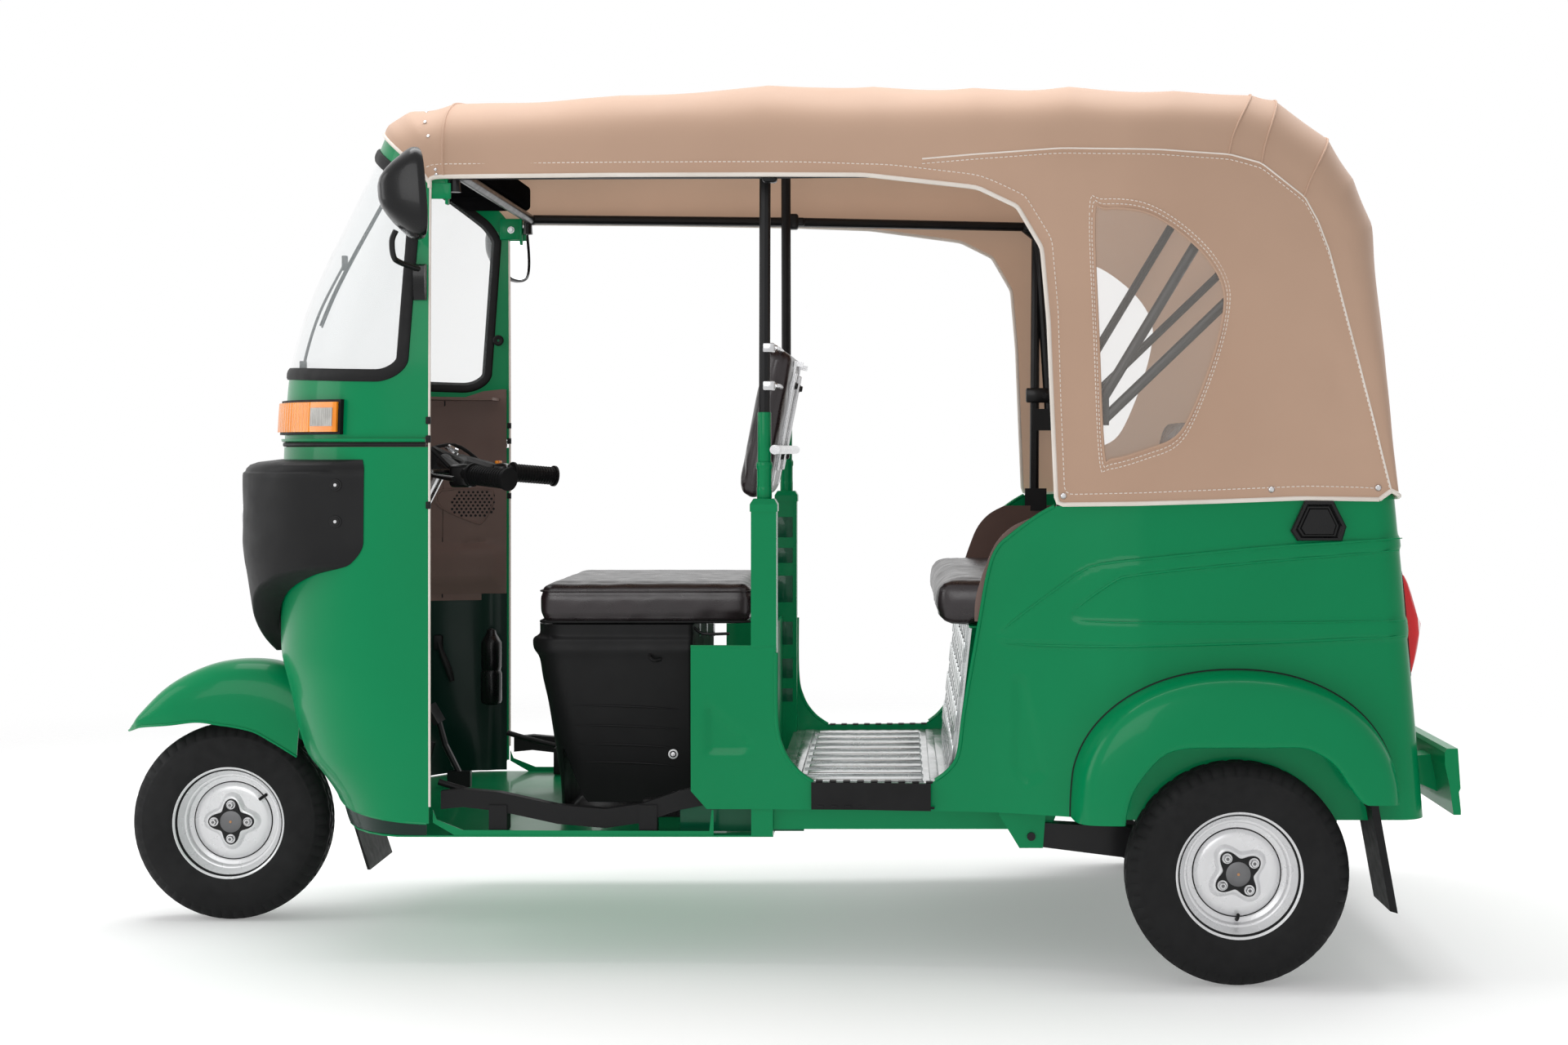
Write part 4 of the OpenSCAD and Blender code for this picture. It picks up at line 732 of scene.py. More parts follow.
ring = roundSquare()
innerT, innerZ = screenAt(ring[:, 0], ring[:, 1])
square = ring / np.maximum(np.abs(ring[:, :1]), np.abs(ring[:, 1:]))
outerT = 90 * square[:, 0]
share = (square[:, 1] + 1) / 2
outerZ = cabSizes["seam"] + 0.3 + (headerZ(outerT) - cabSizes["seam"] - 0.3) * share
bands = np.linspace(0, 1, 12)[:, None]
frameGrid = cabPoint(innerT + (outerT - innerT) * bands, innerZ + (outerZ - innerZ) * bands)[::-1]
pillarEars = both(block((cabX, cabHalf - 14, 1450), (cabX + 40, cabHalf - 11, 1480), 1))
newPiece("screenFrame", [(slab(frameGrid, wall, loop=True), bodyPaint), (pillarEars, bodyPaint)],
         replaced=["windscreen_frame"])

# Rubber seal swept round the opening, and the glass inside it.
edgePoint = cabPoint(innerT, innerZ)
edgeNormal = cabNormal(innerT, innerZ)
run = np.roll(edgePoint, -1, 0) - np.roll(edgePoint, 1, 0)
inward = np.cross(edgeNormal, run)
inward /= np.linalg.norm(inward, axis=1, keepdims=True)
if np.dot(inward[25], (0, 0, 1)) < 0:
    inward = -inward
sealAcross, sealOut = np.array(screenSizes["seal"], float).T
sealRings = np.array([p + np.outer(sealAcross, s) + np.outer(sealOut, n)
                      for p, s, n in zip(edgePoint, inward, edgeNormal)])
sealRings = np.concatenate([sealRings, sealRings[:1]])
newPiece("screenSeal", [(loft(sealRings, False), softRubber)], sharp=50, replaced=["windscreen_seal"])
vs = np.linspace(-1, 1, 40)
low = screenSizes["cornerLow"]
corner = 1 - np.sqrt(np.clip(1 - ((-1 + low - vs) / low) ** 2, 0, 1))
wide = np.where(vs < -1 + low, 1 - screenSizes["cornerU"] * corner, 1.0)
us = np.linspace(-1, 1, 70)
glassT, glassZ = screenAt((us[None, :] * wide[:, None]) * 0.995, np.repeat(vs[:, None] * 0.985, 70, 1))
newPiece("screenGlass", [(slab(cabPoint(glassT, glassZ, screenSizes["glassDeep"]), screenSizes["glassThick"]),
                          screenGlass)], replaced=["windscreen_glass"])

# White edge trim up the rear edge of the cab, with black clips.
zs = np.linspace(300, 1486, 60)
trim = np.stack([np.full(60, cabX + 1.2), cabBreadth(zs) - 1.5, zs], axis=1)
clips = [moved(block((-4, -3, -7), (5, 4, 7), 1.5), (cabX - 1, float(cabBreadth(z)) - 1, z))
         for z in (1030, 995, 870)]
newPiece("cabEdgeTrim", [(both(tube(trim, 2.4, 10, 1)), piping), (both(join(*clips)), softRubber)])
print("cab ready")


# Mask, lamps and wiper.

maskSizes = {
    "rows": [(566, 8, 46), (600, 15, 34), (648, 25, 22), (690, 36, 15), (735, 56, 8), (756, 70, 4),
             (800, 74.5, 0),
             (940, 74.5, 0), (956, 74, 3)],
    "reach": 431, "half": 435, "lampY": 188, "lampZ": 850, "lampR": 76,
    "low": 566, "high": 956, "border": 26, "creaseAt": 936, "crease": 5.0, "thick": 3.0,
    "screwHeights": (909, 838), "screwBack": 168}
maskSpan = smoothTable([(z, t) for z, t, d in maskSizes["rows"]])
maskDepth = smoothTable([(z, d) for z, t, d in maskSizes["rows"]])


def maskPoint(t, z, d=0.0):
    a = np.radians(t)
    return np.stack([cabX - (maskSizes["reach"] - maskDepth(z) - d) * spow(np.cos(a), 0.625),
                     (maskSizes["half"] - maskDepth(z) / 3 - d) * spow(np.sin(a), 0.625), z + 0 * a], axis=-1)


maskRows, maskColumns = 74, 130
v = np.linspace(-1, 1, maskRows)[:, None]
u = np.linspace(-1, 1, maskColumns)[None, :]
z = (maskSizes["high"] + maskSizes["low"]) / 2 + (maskSizes["high"] - maskSizes["low"]) / 2 * v + 0 * u
t = u * maskSpan(z)
proud = maskPoint(t, z)
seat = cabPoint(t, z, -0.4)
# Rise from the cab over a rounded border.
fromTop = maskSizes["high"] - z
fromSide = (1 - np.abs(u)) * np.maximum(maskSpan(z), 5) * 7.0 + 0 * v
border = np.minimum(fromTop, fromSide)
lift = np.sqrt(np.clip(1 - (1 - np.clip(border / maskSizes["border"], 0, 1)) ** 2, 0, 1))[..., None]
maskGrid = seat + (proud - seat) * (0.06 + 0.94 * lift)
# A crease runs along the top band, and a shallow pan lies round each screw.
crease = maskSizes["crease"] * np.exp(-((z - maskSizes["creaseAt"]) / 5.0) ** 2) * (lift[..., 0] > 0.6)
maskGrid = maskGrid + crease[..., None] * gridNormals(maskGrid) * -1
mask = newPiece("lampMask", [(slab(maskGrid, maskSizes["thick"]), mouldedBlack)], sharp=60,
                replaced=["headlamp_mask"])
for side in (-1, 1):
    cut(mask, lathe([(0.01, -1500), (maskSizes["lampR"] + 1, -1500), (maskSizes["lampR"] + 1, cabX - 150),
                     (0.01, cabX - 150)],
                    (0, side * maskSizes["lampY"], maskSizes["lampZ"]), 48, "x"))
pans, screws = [], []
maskNormal = gridNormals(maskGrid)
for height in maskSizes["screwHeights"]:
    row = int(np.argmin(np.abs(z[:, 0] - height)))
    column = maskColumns // 2 + int(np.argmin(np.abs(maskGrid[row, maskColumns // 2:, 0]
            - (cabX - maskSizes["screwBack"]))))
    place, aim = maskGrid[row, column], maskNormal[row, column]
    aim = aim * np.sign(aim[1])
    pans.append(tube([place - aim * 2, place + aim * 1.2], [13, 11.5], 24, 1))
    pans.append(tube([place + aim * 0.6, place + aim * 2.4], [9, 8], 20, 1))
    screws.append(tube([place + aim * 2.0, place + aim * 3.4], [3.6, 3.0], 12, 1))
newPiece("maskScrews", [(both(join(*pans)), glossBlack), (both(join(*screws)), steelBright)])

# Head lamps: outlines as (radius, place behind the lens's edge).
lampSizes = {
    "face": 396,
    "bowl": [(10, 34), (30, 33), (48, 24), (60, 8), (66, -4), (69, -4), (62, 12), (50, 29), (30, 38),
             (10, 39)],
    "rim": [(66, -6), (71, -9), (75, -4), (75, 46), (66, 46)],
    "bulb": [(0.01, 8), (8, 10), (11, 18), (11, 38), (0.01, 38)],
    "lens": [(0.01, -15), (22, -14), (44, -10), (60, -5), (67, 1), (67, 3), (60, -2), (44, -7), (0.01, -12)]}


def lampPart(outline, parts):
    outline = [(r, cabX - lampSizes["face"] + back) for r, back in lampSizes[outline]]
    return join(*[lathe(outline, (0, side * maskSizes["lampY"], maskSizes["lampZ"]), parts, "x")
                  for side in (-1, 1)])


newPiece("headLamps", [(lampPart("bowl", 48), mirrorGlass), (lampPart("rim", 48), steelBright),
                       (lampPart("bulb", 24), clearLens), (lampPart("lens", 48), screenGlass)],
         replaced=["headlamps"])

# Corner lamps: a dark frame, amber ends with upright flutes and a clear middle.
# Each part: two angles, two heights, depth, thickness, columns, rows, (flutes, their height).
cornerSizes = {
    "frame": [(25.2, 66.4, 1004, 1071, -10, 9.4)],
    "amber": [(26, 54.0, 1009, 1066, -14.5, 5, 90, 10, (13, 1.4))],
    "clear": [(54.2, 64.0, 1020, 1055, -15.5, 6, 90, 10, (12, 1.0))],
    "ends": [(54.0, 65.5, 1009, 1020.4, -14.5, 5, 10, 5), (54.0, 65.5, 1054.6, 1066, -14.5, 5, 10, 5),
             (63.8, 65.5, 1019, 1056, -14.5, 5, 10, 5)]}


def cabPatch(t0, t1, z0, z1, d, thick, nt=40, nz=14, flute=None):
    tt = np.linspace(t0, t1, nt)[None, :]
    zz = np.linspace(z0, z1, nz)[:, None]
    grid = cabPoint(tt + 0 * zz, zz + 0 * tt, d)
    if flute:
        wave = flute[1] * np.abs(np.sin(np.pi * flute[0] * np.linspace(0, 1, nt)))[None, :, None]
        grid = grid + wave * gridNormals(grid)
    return slab(grid, thick)


newPiece("cornerLamps", [(both(cabPatch(*values)), made) for key, made in (
    ("frame", softRubber), ("amber", amberLens), ("clear", clearLens), ("ends", amberLens))
    for values in cornerSizes[key]], replaced=["corner_lamps"])

# Wiper: spindle, arm with its joint, and a thin blade.
wiperSizes = {
    "angle": 4.0,
    # (height, depth) along the arm, the blade and its rubber
    "arm": ((1096, -8), (1150, -20), (1260, -22), (1368, -19)),
    "blade": ((1236, -9.5), (1300, -9.5), (1368, -9.5), (1430, -9.5), (1506, -9.5)),
    "rubber": ((1232, -4.5), (1300, -4.5), (1368, -4.5), (1430, -4.5), (1510, -4.5)),
    "spindle": [(0.01, 0), (12, 0), (12, 6), (9, 12), (0.01, 14)], "spindleZ": 1092.0}
arm, blade, rubber = ([tuple(cabPoint(wiperSizes["angle"], z, d)) for z, d in wiperSizes[key]]
                      for key in ("arm", "blade", "rubber"))
spindle = moved(lathe(wiperSizes["spindle"], parts=20, axis="x"),
                tuple(cabPoint(wiperSizes["angle"], wiperSizes["spindleZ"], -1)), (0, 0, 180))
newPiece("wiper", [(join(tube(arm, [4.5, 3.2, 3.0, 2.6], 10), tube(blade, 2.6, 8), spindle,
                         moved(block((-8, -6, -12), (6, 6, 12), 2), arm[1]),
                         moved(block((-6, -5, -16), (6, 5, 16), 2), arm[3])), glossBlack),
                   (tube(rubber, 1.9, 6), softRubber)], replaced=["wiper"])
print("front ready")


# Body sides.

archX, archZ, archHalf, archRise = rearX - 2, 333, 297, 239
sideSizes = {
    "cornerR": 52, "tailLean": 5.1, "cell": 7.0, "quickCell": 8.0,
    "fall": [(sillZ, 5), (480, 0.8), (690, 0.5), (beltZ + 17, 4.9)],
    # each pressing: outline as (x, z), height, border width
    "pressings": [
        ([(470, 626), (586, 724), (626, 752), (664, 766), (967, 797), (1300, 824), (1300, 634), (967, 622),
          (673, 614), (486, 612)], 3.4, 7),
        ([(603, 668), (606, 680), (640, 708), (686, 739), (716, 746), (967, 771), (1300, 799), (1300, 664),
          (967, 658), (615, 660)], -3.0, 6),
        ([(-78, 494), (4, 420), (-10, 404), (-78, 404)], -5.0, 12),
        ([(500, 548), (516, 548), (552, 372), (520, 352), (500, 380)], -4.0, 12)]}
bothSides = (("Left", flip), ("Right", lambda shape: shape))


def archPoint(a, d=0.0):
    a = np.radians(a)
    return np.stack([archX - (archHalf - d) * spow(np.cos(a), 0.93),
                     archZ + (archRise - d) * spow(np.sin(a), 0.93)], -1)


bodyPlan = smoothTable([(postX - 140, cabHalf + 2), (postX, cabHalf + 6), (postX + 170, cabHalf + 12),
                        (postX + 420, bodyHalf - 90), (archPoint(22.5)[0], bodyHalf - 27),
                        (archPoint(45)[0], bodyHalf - 8), (archPoint(60)[0], bodyHalf),
                        (tailX + 100, bodyHalf)])
sideFall = smoothTable(sideSizes["fall"])
tailLean = math.radians(sideSizes["tailLean"])
cornerR = sideSizes["cornerR"]


def bodyY(x, z):
    return bodyPlan(x) - sideFall(z)


def tailAt(z):
    return tailX + (beltZ + 17 - z) * math.tan(tailLean)


def polyDistance(x, z, outline):
    # Signed distance to a closed outline, above zero inside it.
    outline = np.array(outline, float)
    near = np.full(x.shape, 1e9)
    inside = np.zeros(x.shape, bool)
    for (x0, z0), (x1, z1) in zip(outline, np.roll(outline, -1, 0)):
        dx, dz = x1 - x0, z1 - z0
        s = np.clip(((x - x0) * dx + (z - z0) * dz) / max(dx * dx + dz * dz, 1e-9), 0, 1)
        near = np.minimum(near, np.hypot(x - x0 - s * dx, z - z0 - s * dz))
        crosses = ((z0 > z) != (z1 > z)) & (x < (x1 - x0) * (z - z0) / (z1 - z0 + 1e-12) + x0)
        inside ^= crosses
    return np.where(inside, near, -near)


def emboss(x, z, outline, height, width=7.0):
    # A pressed step: height inside the outline with a rounded border.
    s = np.clip(polyDistance(x, z, outline) / width + 0.5, 0, 1)
    return height * s * s * (3 - 2 * s)


def pressed(x, z):
    return sum(emboss(x, z, *pressing) for pressing in sideSizes["pressings"])


side = smoothPath([(doorFront, 640), (doorFront, 471), (doorFront + 12, 410), (doorFront + 38, 371),
                   (doorFront + 69, stepZ + 12)], 6)
rise = smoothPath([(doorRear - 52, stepZ + 12), (doorRear - 20, 372), (doorRear, 405), (doorRear + 11, 487),
                   (doorRear + 37, 638), (doorRear + 54, 737), (doorRear + 71, 788), (doorRear + 100, 817),
                   (doorRear + 146, 852), (beltX, beltZ - 10)], 6)
doorLine = np.concatenate([side, rise])
archLine = archPoint(np.linspace(180, 0, 60), 12)
sideOutline = np.concatenate([
    [(postX - 138, sillZ + 34), (postX - 138, 603), (doorFront, 603)], doorLine[doorLine[:, 1] < 600],
    doorLine[(doorLine[:, 1] >= 600) & (doorLine[:, 0] > doorRear)],
    [(tailX + 90, beltZ + 15), (tailX + 90, 340), (archX + archHalf - 14, 340)],
    archLine, [(archX - archHalf + 14, sillZ), (postX - 108, sillZ)]])


def sideGrid(step=6.0):
    zs = np.linspace(sillZ, beltZ + 17, int((beltZ + 17 - sillZ) / step))
    rows = []
    for z in zs:
        end = tailAt(z) - cornerR
        xs = np.linspace(postX - 138, end, int(1250 / step))
        turn = np.radians(np.linspace(5, 90, 18))
        y = bodyY(xs, z)
        flat = np.stack([xs, y, np.full(len(xs), z)], -1)
        bend = np.stack([end + cornerR * np.sin(turn), bodyY(end, z) - cornerR * (1 - np.cos(turn)),
                         np.full(len(turn), z)], -1)
        rows.append(np.concatenate([flat, bend]))
    grid = np.array(rows)
    normal = -gridNormals(grid)
    if normal[5, 5, 1] < 0:
        normal = -normal
    return grid + pressed(grid[..., 0], grid[..., 2])[..., None] * normal, normal


grid, normal = sideGrid(sideSizes["cell"])
panel = slab(grid, wall, back=grid - wall * normal)
cutter = prism(sideOutline, bodyHalf - 260, bodyHalf + 60)
beadPath = np.stack([rise[2:, 0], bodyY(rise[2:, 0], rise[2:, 1]) - 1.5, rise[2:, 1]], -1)
frontBead = np.stack([side[:, 0], bodyY(side[:, 0], side[:, 1]) - 1.5, side[:, 1]], -1)
frontBead = frontBead[frontBead[:, 2] < 603]
postFold = [(postX - 138, bodyY(postX - 138, 603) - 2, 603), (doorFront, bodyY(doorFront, 603) - 2, 603)]
for label, turnOver in bothSides:
    piece = newPiece("bodySide" + label, [(turnOver(panel), bodyPaint)], sharp=40)
    cut(piece, turnOver(cutter), "INTERSECT")
    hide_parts("side_panel_" + label.lower())
newPiece("doorBeads", [(both(join(tube(beadPath, 4.0, 10, 1), tube(frontBead, 4.0, 10, 1),
        tube(postFold, 3.0, 8, 1))),
                        bodyPaint)])

# Flares over the rear wheels, with a black joint line round each.
# The section is (share of the way in from the arch, how far out of 80).
flareSizes = {
    "thick": 3.0, "joint": 2.2, "columns": 110,
    "section": [(0, 0.4), (0.01, 12), (0.025, 26), (0.055, 41), (0.11, 54), (0.19, 63), (0.31, 69.5),
                (0.48, 74),
                (0.68, 77.5), (0.88, 79.6), (0.95, 79.4), (0.985, 77.5), (1.0, 73), (1.004, 62)]}
flareInner = smoothPath([(archX - 206, archZ - 34), (archX - 203, 320), (archX - 196, 348),
                         (archX - 180, 378),
                         (archX - 151, 413), (archX - 126, 430), (archX - 92, 437), (archX - 40, 438),
                         (archX + 40, 438), (archX + 108, 438), (archX + 141, 427), (archX + 171, 405),
                         (archX + 196, 369), (archX + 214, 345), (archX + 226, 336)], 12)
section = smoothPath(flareSizes["section"], 3)
columns = flareSizes["columns"]
ks = np.linspace(0, 1, columns)
outer = archPoint(180 * ks)
outer[:, 1] -= np.interp(ks, [0, 0.06, 1], [36, 0, 0])
fine = np.linspace(0, 1, len(flareInner))
inner = np.stack([np.interp(ks, fine, flareInner[:, 0]), np.interp(ks, fine, flareInner[:, 1])], -1)
rows = []
for f, lift in section:
    p = outer + (inner - outer) * f
    base = bodyY(outer[:, 0], outer[:, 1])
    y = base + lift * (bodyHalf + 80 - base) / 80
    rows.append(np.stack([p[:, 0], y, p[:, 1]], -1))
flareGrid = np.array(rows)
flare = slab(flareGrid, -flareSizes["thick"])        # its thickness goes inwards
if flare[0][len(flare[0]) // 2 + 55 + columns * 20][1] > flareGrid[20][55][1]:
    flare = slab(flareGrid, flareSizes["thick"])
jointPath = np.stack([outer[:, 0], bodyY(outer[:, 0], outer[:, 1]) + 1.0, outer[:, 1]], -1)
for label, turnOver in bothSides:
    newPiece("flare" + label, [(turnOver(flare), bodyPaint),
                               (turnOver(tube(jointPath, flareSizes["joint"], 8, 1)), softRubber)],
             sharp=50, replaced=["fender_" + label.lower()])

# Vents in the rear quarters: a hexagonal frame round a dished louvre.
# Each ring is (share of the outline, how far out).
ventSizes = {
    "outline": [(1000, 826), (1026, 882), (1078, 882), (1102, 834), (1094, 808), (1012, 808)],
    "rings": ((1.0, 0), (1.0, 10), (0.95, 13), (0.84, 13), (0.78, 9), (0.73, 5), (0.66, 5), (0.61, 8),
              (0.3, 8))}
ventMiddle = np.mean(ventSizes["outline"], 0)


def ventRing(scale, out):
    ring = [ventMiddle + (np.array(p) - ventMiddle) * scale for p in ventSizes["outline"]]
    return [(x, bodyHalf - 4 + out, z) for x, z in ring]


newPiece("sideVents", [(both(loft([ventRing(*ring) for ring in ventSizes["rings"]])), glossBlack)], sharp=28,
         replaced=["side_vents"])
print("body sides ready")


# Hood.

hoodSizes = {
    "thick": 3, "sideParts": 14, "roofParts": 84, "spanSteps": 12,
    "sag": 5.0, "ripple": 0.30, "piping": 4.2, "hem": 24.0,
    # drawn folds: x, z, direction x and z, depth, length
    "folds": ((975, 1500, 0.55, -0.83, 2.6, 260), (1020, 1440, 0.75, -0.66, 2.2, 200),
              (905, 1490, 0.2, -0.98, 1.8, 300), (720, 1480, -0.1, -1.0, 1.5, 260),
              (600, 1440, 0.3, -0.95, 1.4, 220), (1080, 1300, 0.25, -0.97, 1.8, 260),
              (640, 960, 0.9, 0.42, 1.4, 220), (1120, 1000, -0.3, 0.95, 1.5, 240)),
    # the flat cloth in metres, windows cut out
    "width": 2.75, "length": 2.63, "area": 3.51}
windowSizes = {
    "outline": [(644, 1400), (664, 1414), (730, 1409), (786, 1381), (842, 1332), (874, 1280), (878, 1230),
                (860, 1150), (822, 1050), (790, 1000), (740, 978), (676, 960), (660, 975), (651, 1180)],
    "middle": (757, 1190), "rearHalf": 340, "rearTall": 120, "rearMiddle": 1180, "rearRound": 60,
               "thick": 0.8}
hoodTh = hoodSizes["thick"]
hoodPlan = plainTable([(cabX - 10, cabHalf + 3), (postX, cabHalf + 56), (postX + 205, cabHalf + 86),
                       (beltX, bodyHalf - 8),
                       (beltX + 130, bodyHalf + 5), (tailX + 60, bodyHalf + 5)])


def hoodY(x, z):
    return hoodPlan(x) - 9 * np.maximum(0, (np.asarray(z) - beltZ) / 600)


# Stations along the hood: roof, shoulder and lower edge as (x, z), then the roundness across.
hoodStations = np.array([
    (cabX - 85, 1655, cabX + 6, 1506, cabX + 10, 1490, 0.83, 0.60),
    (cabX + 16, 1672, cabX + 20, 1508, cabX + 22, 1491, 0.83, 0.60),
    (postX - 290, 1688, postX - 290, 1508, postX - 290, 1491, 0.83, 0.58),
    (postX, 1706, postX, 1508, postX, 1489, 0.83, 0.56),
    (postX + 205, 1699, postX + 205, 1506, postX + 190, 1485, 0.83, 0.56),
    (postX + 400, 1691, postX + 391, 1520, postX + 399, 1459, 0.83, 0.54),
    (rearX - 284, 1690, rearX - 318, 1529, rearX - 398, 1423, 0.83, 0.54),
    (rearX - 80, 1677, rearX - 140, 1525, rearX - 353, 1346, 0.80, 0.52),
    (rearX + 70, 1668, rearX - 10, 1516, rearX - 341, 1212, 0.76, 0.5),
    (rearX + 105, 1657, rearX + 48, 1500, rearX - 334, 1040, 0.70, 0.5),
    (rearX + 205, 1582, rearX + 128, 1438, rearX - 327, 874, 0.62, 0.5),
    (rearX + 256, 1500, rearX + 152, 1395, rearX - 180, 876, 0.56, 0.5),
    (rearX + 288, 1404, rearX + 172, 1340, rearX - 40, 880, 0.52, 0.48),
    (rearX + 302, 1150, rearX + 222, 1150, rearX + 120, 886, 0.45, 0.45),
    (rearX + 309, 885, rearX + 284, 900, rearX + 262, 884, 0.35, 0.40)])
sideParts, roofParts, spanSteps = (hoodSizes[key] for key in ("sideParts", "roofParts", "spanSteps"))


def hoodLine(station):
    # One line across the hood, from the left lower edge over the roof to the right one.
    px, pz, qx, qz, ex, ez, powerA, powerB = station
    k = np.linspace(0, 1, sideParts + 1)[:-1]
    xs, zs = ex + (qx - ex) * k, ez + (qz - ez) * k
    side = np.stack([xs, hoodY(xs, zs), zs], -1)
    a = np.radians(np.linspace(-90, 90, roofParts + 1))
    roof = np.stack([qx + (px - qx) * spow(np.cos(a), powerA), hoodY(qx, qz) * spow(np.sin(a), powerA),
                     qz + (pz - qz) * spow(np.cos(a), powerB)], -1)
    return np.concatenate([side * (1, -1, 1), roof, side[::-1]])


def visorLine(rise):
    k = np.linspace(1, 0, sideParts + 1)[:-1]
    zs = cabSizes["pillarTop"] + rise - 10 * k
    side = np.stack([np.full(len(zs), cabX + 1.0), cabBreadth(zs) + hoodTh + 1.5, zs], -1)
    a = np.linspace(-90, 90, roofParts + 1)
    return np.concatenate([side * (1, -1, 1), cabPoint(a, headerZ(a) + rise, -hoodTh - 1.5), side[::-1]])


lines, spanAt = [visorLine(-10), visorLine(-4), visorLine(2), visorLine(7)], [0, 0, 0, 0]
first = lines[-1]
start = hoodLine(hoodStations[0])
for k in np.linspace(0, 1, 6)[1:-1]:
    lines.append(first + (start - first) * k)
    spanAt.append(0)
for i in range(len(hoodStations) - 1):
    for k in range(spanSteps):
        lines.append(hoodLine(hoodStations[i] + (hoodStations[i + 1] - hoodStations[i]) * k / spanSteps))
        spanAt.append(k / spanSteps)
lines.append(hoodLine(hoodStations[-1]))
spanAt.append(0)
hoodGrid = np.array(lines)
firstStation = 8


def stationRow(i):
    return firstStation + i * spanSteps


# The cloth sags a little between the bows, and its bends are rounded.
hoodGrid[1:-1] = 0.25 * hoodGrid[:-2] + 0.5 * hoodGrid[1:-1] + 0.25 * hoodGrid[2:]
normal = gridNormals(hoodGrid)
if normal[40, sideParts + roofParts // 2, 2] < 0:
    normal = -normal
columns = np.arange(hoodGrid.shape[1])
overRoof = np.clip((np.minimum(columns, columns[::-1]) - sideParts) / 20.0, 0, 1)
sag = hoodSizes["sag"] * np.sin(math.pi * np.array(spanAt))[:, None] * overRoof[None, :]
sag[stationRow(7):] *= 0.35
x, y, z = hoodGrid[..., 0], hoodGrid[..., 1], hoodGrid[..., 2]
dice = np.random.RandomState(7)
ripple = np.zeros_like(x)
for k in range(26):
    wave = dice.uniform(60, 260)
    lean = dice.normal(0, 1, 3)
    lean /= np.linalg.norm(lean)
    ripple += dice.uniform(0.2, 1.0) * np.sin(2 * math.pi * (x * lean[0] + y * lean[1] + z * lean[2]) / wave
            + dice.uniform(0, 6.3))
ripple *= hoodSizes["ripple"]
# Drawn folds run down from the rear shoulder and round the windows.
fold = np.zeros_like(x)
for fx, fz, dx, dz, size, length in hoodSizes["folds"]:
    along = (x - fx) * dx + (z - fz) * dz
    off = -(x - fx) * dz + (z - fz) * dx
    fold += size * np.exp(-(off / 16.0) ** 2) * np.clip(1 - np.abs(along - length / 2) / (length / 2), 0, 1)
edgeHold = np.clip(np.minimum(columns, columns[::-1]) / 5.0, 0, 1)[None, :]
rowHold = np.clip(np.minimum(np.arange(len(hoodGrid)) - 5, np.arange(len(hoodGrid))[::-1]) / 5.0, 0, 1)[:,
        None]
hoodGrid = hoodGrid + ((ripple - fold - sag) * edgeHold * rowHold)[..., None] * normal
hoodBack = hoodGrid - hoodTh * normal
hood = newPiece("hoodSheet", [(slab(hoodGrid, hoodTh, back=hoodBack), hoodCloth, hoodLining)], sharp=45)

windowOutline = smoothPath(windowSizes["outline"], 8, True)


def windowLine(share):
    # The window's outline, larger by a share.
    return windowOutline + (windowOutline - windowSizes["middle"]) * share


cut(hood, prism(windowOutline, -bodyHalf - 60, bodyHalf + 60))
rearHalf, rearTall, rearMiddle, rearRound = (windowSizes["rear" + key]
        for key in ("Half", "Tall", "Middle", "Round"))
turn = np.radians(np.arange(0, 360, 6))
rearOutline = [(np.sign(math.cos(a)) * (rearHalf - rearRound) + rearRound * math.cos(a),
                rearMiddle + np.sign(math.sin(a)) * (rearTall - rearRound) + rearRound * math.sin(a))
               for a in turn + 0.01]
cut(hood, prism(rearOutline, tailX - 160, tailX + 100, "x"))
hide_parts("canopy")


def hoodSurface(x, z):
    # Outer Y of the hood's right side at x and z: the nearest point of the grid there.
    flat = hoodGrid[:, hoodGrid.shape[1] // 2:].reshape(-1, 3)
    return flat[np.argmin((flat[:, 0] - x) ** 2 + (flat[:, 2] - z) ** 2), 1]


def onHood(path, lift=0.5):
    # Points of a side path laid on the hood's right side.
    out = []
    flat = hoodGrid[:, hoodGrid.shape[1] // 2 + 12:].reshape(-1, 3)
    for px, pz in path:
        d = (flat[:, 0] - px) ** 2 + (flat[:, 2] - pz) ** 2
        near = np.argsort(d)[:4]
        w = 1 / (d[near] + 1)
        out.append((px, float((flat[near, 1] * w).sum() / w.sum()) + lift, pz))
    return np.array(out)


def evenly(path, step):
    path = np.asarray(path, float)
    run = np.concatenate([[0], np.cumsum(np.linalg.norm(np.diff(path, axis=0), axis=1))])
    at = np.arange(0, run[-1], step)
    return np.stack([np.interp(at, run, path[:, i]) for i in range(path.shape[1])], -1)


def stitches(path, pitch=8.0, long=5.0, thick=0.9):
    # Short thread ends along a path.
    points = evenly(path, pitch)
    return join(*[tube([a, a + (b - a) * long / pitch], thick, 4, 1)
                  for a, b in zip(points[:-1], points[1:])])


seamLine = hoodGrid[stationRow(4) + 6:, -1 - sideParts]
newPiece("hoodPiping", [
    (both(tube(hoodGrid[:, -1] + (0, -0.5, 0), hoodSizes["piping"], 8, 1)), piping),
    (tube(hoodGrid[0], 3.6, 8, 1), piping), (tube(hoodGrid[-1], hoodSizes["piping"], 8, 1), piping),
    (both(tube(seamLine + (0, 0.6, 0), 1.6, 6, 1)), piping)])
hem = []
for line in hoodGrid[4:-1]:
    near = line[::-1][:40]
    run = np.concatenate([[0], np.cumsum(np.linalg.norm(np.diff(near, axis=0), axis=1))])
    hem.append([np.interp(hoodSizes["hem"], run, near[:, i]) for i in range(3)])
hem = np.array(hem) + (0, 0.6, 0)
crossSeams = [(hoodGrid + normal * 0.8)[stationRow(i), sideParts:-sideParts] for i in (8, 9, 10)]


